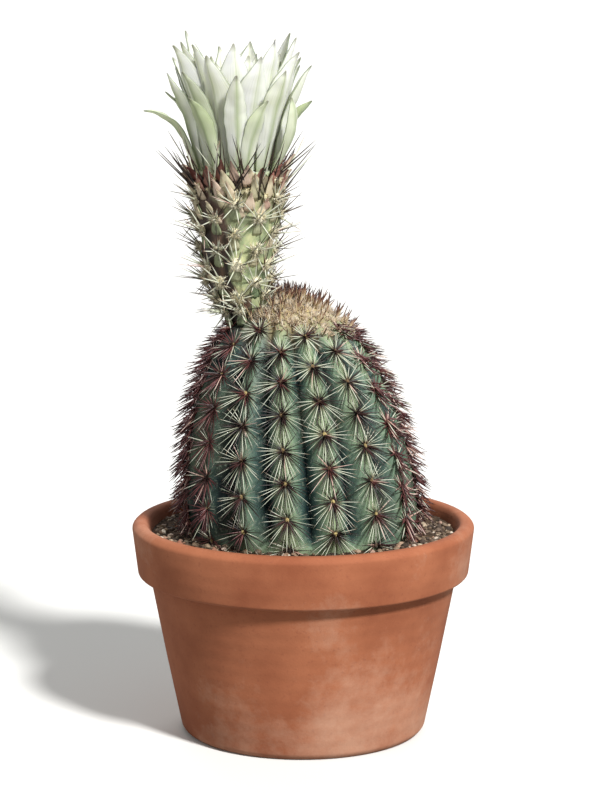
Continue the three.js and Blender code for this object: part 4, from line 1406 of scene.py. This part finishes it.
def makeBlade(name, length, width, tilt, curl, fold, twist, sway, shade):
    # a grid stood on its foot, drawn in row by row, keeled along the midrib and bent outwards
    look = tepalLook
    columns = look["columns"]
    rows = look["rows"]
    nothingSelected()
    bpy.ops.mesh.primitive_grid_add(x_subdivisions=columns, y_subdivisions=rows, size=1.0,
                                    location=(0, 0.5, 0))
    blade = newPiece(name)
    placeApplied(blade)
    bpy.ops.object.mode_set(mode="EDIT")
    bpy.ops.mesh.select_all(action="SELECT")
    bpy.ops.transform.rotate(value=math.radians(-90), orient_axis="X", center_override=(0, 0, 0))
    bpy.ops.transform.resize(value=(width, 1, length), center_override=(0, 0, 0))
    mesh = bmesh.from_edit_mesh(blade.data)
    mesh.verts.ensure_lookup_table()
    across = columns + 1
    grid = [[mesh.verts[row * across + column] for column in range(across)] for row in range(rows + 1)]

    def take(vertices):
        bpy.ops.mesh.select_all(action="DESELECT")
        for vertex in vertices:
            vertex.select = True
        mesh.select_flush_mode()

    half = columns / 2
    for column in range(across):
        side = abs(column - half) / half
        take([row[column] for row in grid])
        bpy.ops.transform.translate(value=(0, width / 2 * (fold * side + 0.16 * side ** 2), 0))
    for i, row in enumerate(grid):
        take(row)
        # no margin is quite even
        breadth = bladeBreadth(i / rows)
        breadth *= 1 + 0.035 * math.sin(i * 1.9 + twist) + 0.03 * math.sin(i * 0.8 + sway)
        bpy.ops.transform.resize(value=(breadth, breadth, 1), center_override=(0, 0, row[0].co.z))
    slope = 0.0
    for i in range(rows):
        share = i / rows
        aimed = tilt + curl * share ** 2
        take([vertex for row in grid[i + 1:] for vertex in row])
        hinge = grid[i][columns // 2].co.copy()
        bpy.ops.transform.rotate(value=math.radians(slope - aimed), orient_axis="X", center_override=hinge)
        bpy.ops.transform.rotate(value=math.radians(twist / rows), orient_axis="Z", center_override=hinge)
        bpy.ops.transform.rotate(value=math.radians(-sway / rows), orient_axis="Y", center_override=hinge)
        slope = aimed
    bpy.ops.object.mode_set(mode="OBJECT")
    mark(blade.data, "shade", [shade] * len(blade.data.vertices))
    return blade


def makeRing(name, ring):
    random = makeRandom(ring["seed"])
    axis = flowerAxis(tubeLook["length"] + tepalLook["base"])
    blades = []
    for i in range(ring["count"]):
        angle = (i + ring["turn"]) * 2 * math.pi / ring["count"] + random(-0.035, 0.035)
        length = ring["length"] * random(0.88, 1.03) * mm
        width = ring["width"] * random(0.92, 1.02) * mm
        tilt = ring["tilt"] + random(-0.6, 0.6)
        curl = ring["curl"] * random(0.6, 1.3)
        # each blade has a fold, twist and sway of its own
        fold = 0.28 + 0.27 * ((i * 0.41) % 1)
        twist = 44 * ((i * 0.618) % 1) - 22
        sway = 22 * ((i * 0.383 + ring["turn"]) % 1) - 11
        for special in tepalLook["special"]:
            if special["ring"] == ring["seed"] and special["blade"] == i:
                tilt = special["tilt"]
                curl = special["curl"]
                sway = special["sway"]
                twist = special["twist"]
        blade = makeBlade(f"{name}_{i}", length, width, tilt, curl, fold, twist, sway,
                          ring["green"] + 0.35 * ((i * 0.37) % 1))
        blade.rotation_euler.z = angle
        blade.location = axis + levelAim(angle) * ring["radius"] * mm
        placeApplied(blade)
        blades.append(blade)
    return blades


def makeCollar(name, rings):  # the ring of tissue that the blades stand on
    radii = [ring["radius"] * mm for ring in rings]
    wide = (max(radii) - min(radii)) / 2 + 0.55 * mm
    foot = flowerAxis(tubeLook["length"] + tepalLook["base"])
    nothingSelected()
    bpy.ops.mesh.primitive_torus_add(major_radius=(max(radii) + min(radii)) / 2, minor_radius=wide,
                                     major_segments=48, minor_segments=8, location=foot)
    collar = newPiece(name)
    collar.scale.z = 0.7
    placeApplied(collar)
    mark(collar.data, "shade", [1.0] * len(collar.data.vertices))
    return collar


def makeTepals(name, rings):
    look = tepalLook
    blades = [blade for i, ring in enumerate(rings) for blade in makeRing(f"{name}_{i}", ring)]
    blades.append(makeCollar(name + "_collar", rings))
    tepals = joined(name, blades)
    group = tepals.vertex_groups.new(name="free")
    low = tubeFoot.z + tubeLook["length"] + 3 * mm
    for vertex in tepals.data.vertices:
        group.add([vertex.index], smoothStep(vertex.co.z, low, low + 18 * mm), "REPLACE")
    for size, strength in ((look["waveLength"], look["waves"]), (look["creaseLength"], look["creases"])):
        modifierApplied(tepals, "DISPLACE", texture=clouds(size), strength=strength, mid_level=0.5,
                        vertex_group="free", texture_coords="GLOBAL")
    modifierApplied(tepals, "SOLIDIFY", thickness=look["thickness"], offset=0.0)
    modifierApplied(tepals, "SUBSURF", levels=1, render_levels=1)
    smoothed(tepals, 180)
    return tepals


def makeTepalMaterial(name, body, stripe, foot, tip, stripeWidth, stripeShare, foldShadeShare):
    # a tepal: soft petal tissue with a satin glow, fine veins along it, a green stripe on the midrib and a
    # dry dark point
    material, tree, surface = newMaterial(name)
    layout = addNode(tree, "ShaderNodeUVMap", uv_map="UVMap").outputs["UV"]
    parts = addNode(tree, "ShaderNodeSeparateXYZ", {"Vector": layout})
    place = addNode(tree, "ShaderNodeTexCoord").outputs["Object"]
    shade = addNode(tree, "ShaderNodeAttribute", attribute_name="shade").outputs["Fac"]
    centred = addNode(tree, "ShaderNodeMath", {0: parts.outputs["X"], 1: 0.5}, operation="SUBTRACT")
    aside = addNode(tree, "ShaderNodeMath", {0: centred}, operation="ABSOLUTE")
    stripeMask = addNode(tree, "ShaderNodeMapRange", {
        "Value": aside, "From Min": stripeWidth, "From Max": 0.02, "To Max": stripeShare})
    fade = addNode(tree, "ShaderNodeMapRange", {
        "Value": parts.outputs["Y"], "From Min": 0.25, "From Max": 0.95, "To Min": 1.0, "To Max": 0.45})
    stripeFaded = addNode(tree, "ShaderNodeMath", {0: stripeMask, 1: fade}, operation="MULTIPLY")
    tint = addNode(tree, "ShaderNodeTexNoise", {"Vector": place, "Scale": 70.0, "Detail": 3.0})
    tintShare = addNode(tree, "ShaderNodeMath", {0: tint, 1: 0.5}, operation="SUBTRACT")
    tintShare = addNode(tree, "ShaderNodeMath", {0: tintShare, 1: shade}, operation="ADD", use_clamp=True)
    tinted = addNode(tree, "ShaderNodeMixRGB", {"Fac": tintShare, "Color1": body[0], "Color2": body[1]})
    striped = addNode(tree, "ShaderNodeMixRGB", {"Fac": stripeFaded, "Color1": tinted, "Color2": stripe})
    # each blade is creased lengthwise, and one side of the crease is painted greener as the shade of the
    # fold
    beside = addNode(tree, "ShaderNodeMapRange", {
        "Value": parts.outputs["X"], "From Min": 0.5, "From Max": 0.8, "To Min": foldShadeShare, "To Max": 0.0})
    oneSide = addNode(tree, "ShaderNodeMath", {0: parts.outputs["X"], 1: 0.5}, operation="GREATER_THAN")
    foldShadeMask = addNode(tree, "ShaderNodeMath", {0: beside, 1: oneSide}, operation="MULTIPLY")
    foldShaded = addNode(tree, "ShaderNodeMixRGB", {"Fac": foldShadeMask, "Color1": striped, "Color2": "#a6b28b"})
    footMask = addNode(tree, "ShaderNodeMapRange", {
        "Value": parts.outputs["Y"], "From Min": 0.3, "From Max": 0.0, "To Max": 0.8})
    footed = addNode(tree, "ShaderNodeMixRGB", {"Fac": footMask, "Color1": foldShaded, "Color2": foot})
    tipMask = addNode(tree, "ShaderNodeMapRange", {
        "Value": parts.outputs["Y"], "From Min": 0.93, "From Max": 1.0, "To Max": 0.85})
    tipped = addNode(tree, "ShaderNodeMixRGB", {"Fac": tipMask, "Color1": footed, "Color2": tip})
    edgeMask = addNode(tree, "ShaderNodeMapRange", {
        "Value": aside, "From Min": 0.435, "From Max": 0.485, "To Max": 0.85})
    edged = addNode(tree, "ShaderNodeMixRGB", {"Fac": edgeMask, "Color1": tipped, "Color2": "#5c6b4f"})
    # about twenty veins run the length of a blade, half a millimetre apart
    lines = addNode(tree, "ShaderNodeMapping", {"Vector": layout, "Scale": (22.0, 0.9, 1.0)})
    veins = addNode(tree, "ShaderNodeTexNoise", {"Vector": lines, "Scale": 1.0, "Detail": 2.0})
    veinMask = addNode(tree, "ShaderNodeMapRange", {
        "Value": veins, "From Min": 0.5, "From Max": 0.34, "To Max": 0.22})
    veined = addNode(tree, "ShaderNodeMixRGB", {"Fac": veinMask, "Color1": edged, "Color2": "#a3ab8c"})
    bump = addNode(tree, "ShaderNodeBump", {"Strength": 0.35, "Distance": 0.25 * mm, "Height": veins})
    setInputs(tree, surface, {
        "Base Color": veined, "Roughness": 0.55, "Specular IOR Level": 0.3, "Subsurface Weight": 0.7,
        "Subsurface Radius": (1.0, 1.0, 0.8), "Subsurface Scale": 1.4 * mm, "Sheen Weight": 0.15,
        "Normal": bump})
    return material


innerTepals = makeTepals("inner_tepal_blades", tepalLook["innerRings"])
whitePetal = makeTepalMaterial("white_petal_tissue", ("#f6f7ef", "#eceed8"), "#c8cfaa", "#d0d7b5", "#55523e",
                               stripeWidth=0.1, stripeShare=0.45, foldShadeShare=0.42)
finished(innerTepals, whitePetal, "inner_tepal", "inner_tepals")
outerTepals = makeTepals("outer_tepal_blades", tepalLook["outerRings"])
greenPetal = makeTepalMaterial("green_petal_tissue", ("#f8f9ec", "#b4bf97"), "#8f9e76", "#a4b18a", "#43392f",
                               stripeWidth=0.14, stripeShare=0.7, foldShadeShare=0.7)
finished(outerTepals, greenPetal, "outer_tepal", "outer_tepals")
print("tepals done:", len(innerTepals.data.polygons) + len(outerTepals.data.polygons), "faces")


# stamens and style, deep in the flower

heartLook = {
    "stamens": 120,
    "stamenFoot": 7.0 * mm,
    "stamenLow": 36.5 * mm,
    "stamenLength": 22 * mm,
    "filament": 0.17 * mm,
    "anther": 0.75 * mm,
    "styleRadius": 1.1 * mm,
    "styleLow": 14.3 * mm,
    "styleTop": 68 * mm,
    "lobes": 9,
    "lobeLength": 4.2 * mm,
    "lobeSpread": 0.62,
}
goldenAngle = 2.39996


def makeStamens():
    look = heartLook
    random = makeRandom(5081)
    filaments = []
    anthers = []
    for i in range(look["stamens"]):
        outward = levelAim(i * goldenAngle)
        share = (i % 12) / 11
        s = look["stamenLow"] + share * 4 * mm
        foot = flowerAxis(s) + outward * look["stamenFoot"] * random(0.9, 1.0)
        aim = (Vector((0, 0, 1)) + outward * random(-0.22, 0.06)).normalized()
        length = look["stamenLength"] * random(0.75, 1.1)
        filaments.append((standing(foot, aim, length, look["filament"]), random(0, 1)))
        tip = foot + aim * length
        side = Vector((random(-1, 1), random(-1, 1), 0.4)).normalized()
        anthers.append((standing(tip, side, look["anther"] * 1.5, look["anther"] * 0.7), random(0, 1)))
    return copiesOf("filaments", bentNeedle, filaments), copiesOf("anthers", cushion, anthers)


def makeStyle():
    look = heartLook
    axis = tubeLook["bend"]
    rows = [(look["styleRadius"] * 0.8, tubeFoot.z + look["styleLow"], axis)]
    steps = 16
    for i in range(1, steps + 1):
        share = i / steps
        girth = look["styleRadius"] * (0.8 + 0.2 * share)
        rows.append((girth, tubeFoot.z + mix(look["styleLow"], look["styleTop"], share), axis))
    rows.append((look["styleRadius"] * 1.35, tubeFoot.z + look["styleTop"] + 0.9 * mm, axis))
    rows.append((look["styleRadius"], tubeFoot.z + look["styleTop"] + 1.8 * mm, axis))
    style = drawnUp("style_column", rows, 14)
    ontoFlowerAxis(style)
    lobes = []
    top = flowerAxis(look["styleTop"] + 0.6 * mm)
    for i in range(look["lobes"]):
        outward = levelAim(i * 2 * math.pi / look["lobes"])
        aim = Vector((0, 0, 1)) + outward * look["lobeSpread"]
        lobe = makeLobe(f"lobe_{i}")
        lobe.matrix_world = Matrix(standing(top + outward * 0.7 * mm, aim, look["lobeLength"], 0.62 * mm))
        placeApplied(lobe)
        lobes.append(lobe)
    whole = joined("style_and_stigma", [style] + lobes)
    modifierApplied(whole, "SUBSURF", levels=1, render_levels=1)
    smoothed(whole, 180)
    return whole


def makeLobe(name):  # a stigma lobe: a blunt finger
    nothingSelected()
    bpy.ops.mesh.primitive_cylinder_add(vertices=8, radius=0.7, depth=0.2, location=(0, 0, 0.1))
    lobe = newPiece(name)
    placeApplied(lobe)
    bpy.ops.object.mode_set(mode="EDIT")
    selectWhere(lobe, lambda co: co.z > 0.1)
    for rise, grow in ((0.3, 1.35), (0.3, 1.0), (0.15, 0.8), (0.05, 0.45)):
        bpy.ops.mesh.extrude_region_move(TRANSFORM_OT_translate={"value": (0, 0, rise)})
        bpy.ops.transform.resize(value=(grow, grow, 1), center_override=(0, 0, 0))
    bpy.ops.object.mode_set(mode="OBJECT")
    return lobe


def makeSoftTissue(name, dark, light, scale):
    # stamens and stigma: moist plant tissue, grainy with pollen or fine velvet
    material, tree, surface = newMaterial(name)
    place = addNode(tree, "ShaderNodeTexCoord").outputs["Object"]
    grain = addNode(tree, "ShaderNodeTexNoise", {"Vector": place, "Scale": scale, "Detail": 4.0})
    tone = addNode(tree, "ShaderNodeValToRGB", {"Fac": grain}, stops={0.35: dark, 0.65: light})
    bump = addNode(tree, "ShaderNodeBump", {"Strength": 0.7, "Distance": 0.2 * mm, "Height": grain})
    setInputs(tree, surface, {"Base Color": tone, "Roughness": 0.6, "Sheen Weight": 0.3, "Normal": bump})
    return material


filaments, anthers = makeStamens()
finished(filaments, makeSoftTissue("filament_tissue", "#d9d9a8", "#eef0d4", 900.0), "pollen_yellow")
finished(anthers, makeSoftTissue("pollen", "#e0bd45", "#f8e898", 3500.0), "pollen_yellow", "stamens")
style = makeStyle()
finished(style, makeSoftTissue("stigma_velvet", "#6f9347", "#9dbb6d", 2200.0), "stigma_green", "style")
removed(needle, bentNeedle, cushion, tuft, scalePattern)
print("heart of the flower done")


# floor, light and camera

stageLook = {
    "floor": "#efeeea",
    "floorBounce": "#9c9c99",
    "floorSize": 30.0,
    "world": "#f2f5f7",
    "worldStrength": 0.29,
    "backdrop": "#f8f8f5",
    "lens": 120.0,
    "distance": 0.82,
    "elevation": 10.0,
    "aim": (-0.001, 0.0, 0.1035),
    "lights": [
        # turn from the front to the right, height, strength, softness
        (34, 42, 4.5, 8),
        (-50, 25, 0.3, 60),
        (180, 35, 1.0, 50),
    ],
}


def makeStage():
    look = stageLook
    nothingSelected()
    bpy.ops.mesh.primitive_plane_add(size=look["floorSize"], location=(0, 0, 0))
    floor = newPiece("floor")
    material, tree, surface = newMaterial("pale_paper")
    rays = addNode(tree, "ShaderNodeLightPath")
    shown = addNode(tree, "ShaderNodeMixRGB", {
        "Fac": rays.outputs["Is Camera Ray"], "Color1": look["floorBounce"], "Color2": look["floor"]})
    setInputs(tree, surface, {"Base Color": shown, "Roughness": 0.95, "Specular IOR Level": 0.1})
    give(floor, material)
    world = bpy.data.worlds.new("pale_room")
    world.use_nodes = True
    tree = world.node_tree
    light = tree.nodes["Background"]
    setInputs(tree, light, {"Color": look["world"], "Strength": look["worldStrength"]})
    seen = addNode(tree, "ShaderNodeBackground", {"Color": look["backdrop"]})
    rays = addNode(tree, "ShaderNodeLightPath")
    both = addNode(tree, "ShaderNodeMixShader", {"Fac": rays.outputs["Is Camera Ray"], 1: light, 2: seen})
    setInputs(tree, tree.nodes["World Output"], {"Surface": both})
    bpy.context.scene.world = world
    for turn, height, strength, softness in look["lights"]:
        bpy.ops.object.light_add(type="SUN", location=(0, 0, 1))
        light = bpy.context.active_object
        light.data.energy = strength
        light.data.angle = math.radians(softness)
        light.rotation_euler = (math.radians(90 - height), 0, math.radians(turn))
    camera = bpy.data.objects.new("camera", bpy.data.cameras.new("camera"))
    bpy.context.scene.collection.objects.link(camera)
    camera.data.lens = look["lens"]
    up = math.radians(look["elevation"])
    aim = Vector(look["aim"])
    camera.location = aim + Vector((0, -math.cos(up), math.sin(up))) * look["distance"]
    camera.rotation_euler = (aim - camera.location).to_track_quat("-Z", "Y").to_euler()
    bpy.context.scene.camera = camera
    bpy.context.scene.view_settings.view_transform = "Standard"


makeStage()
print("scene done")
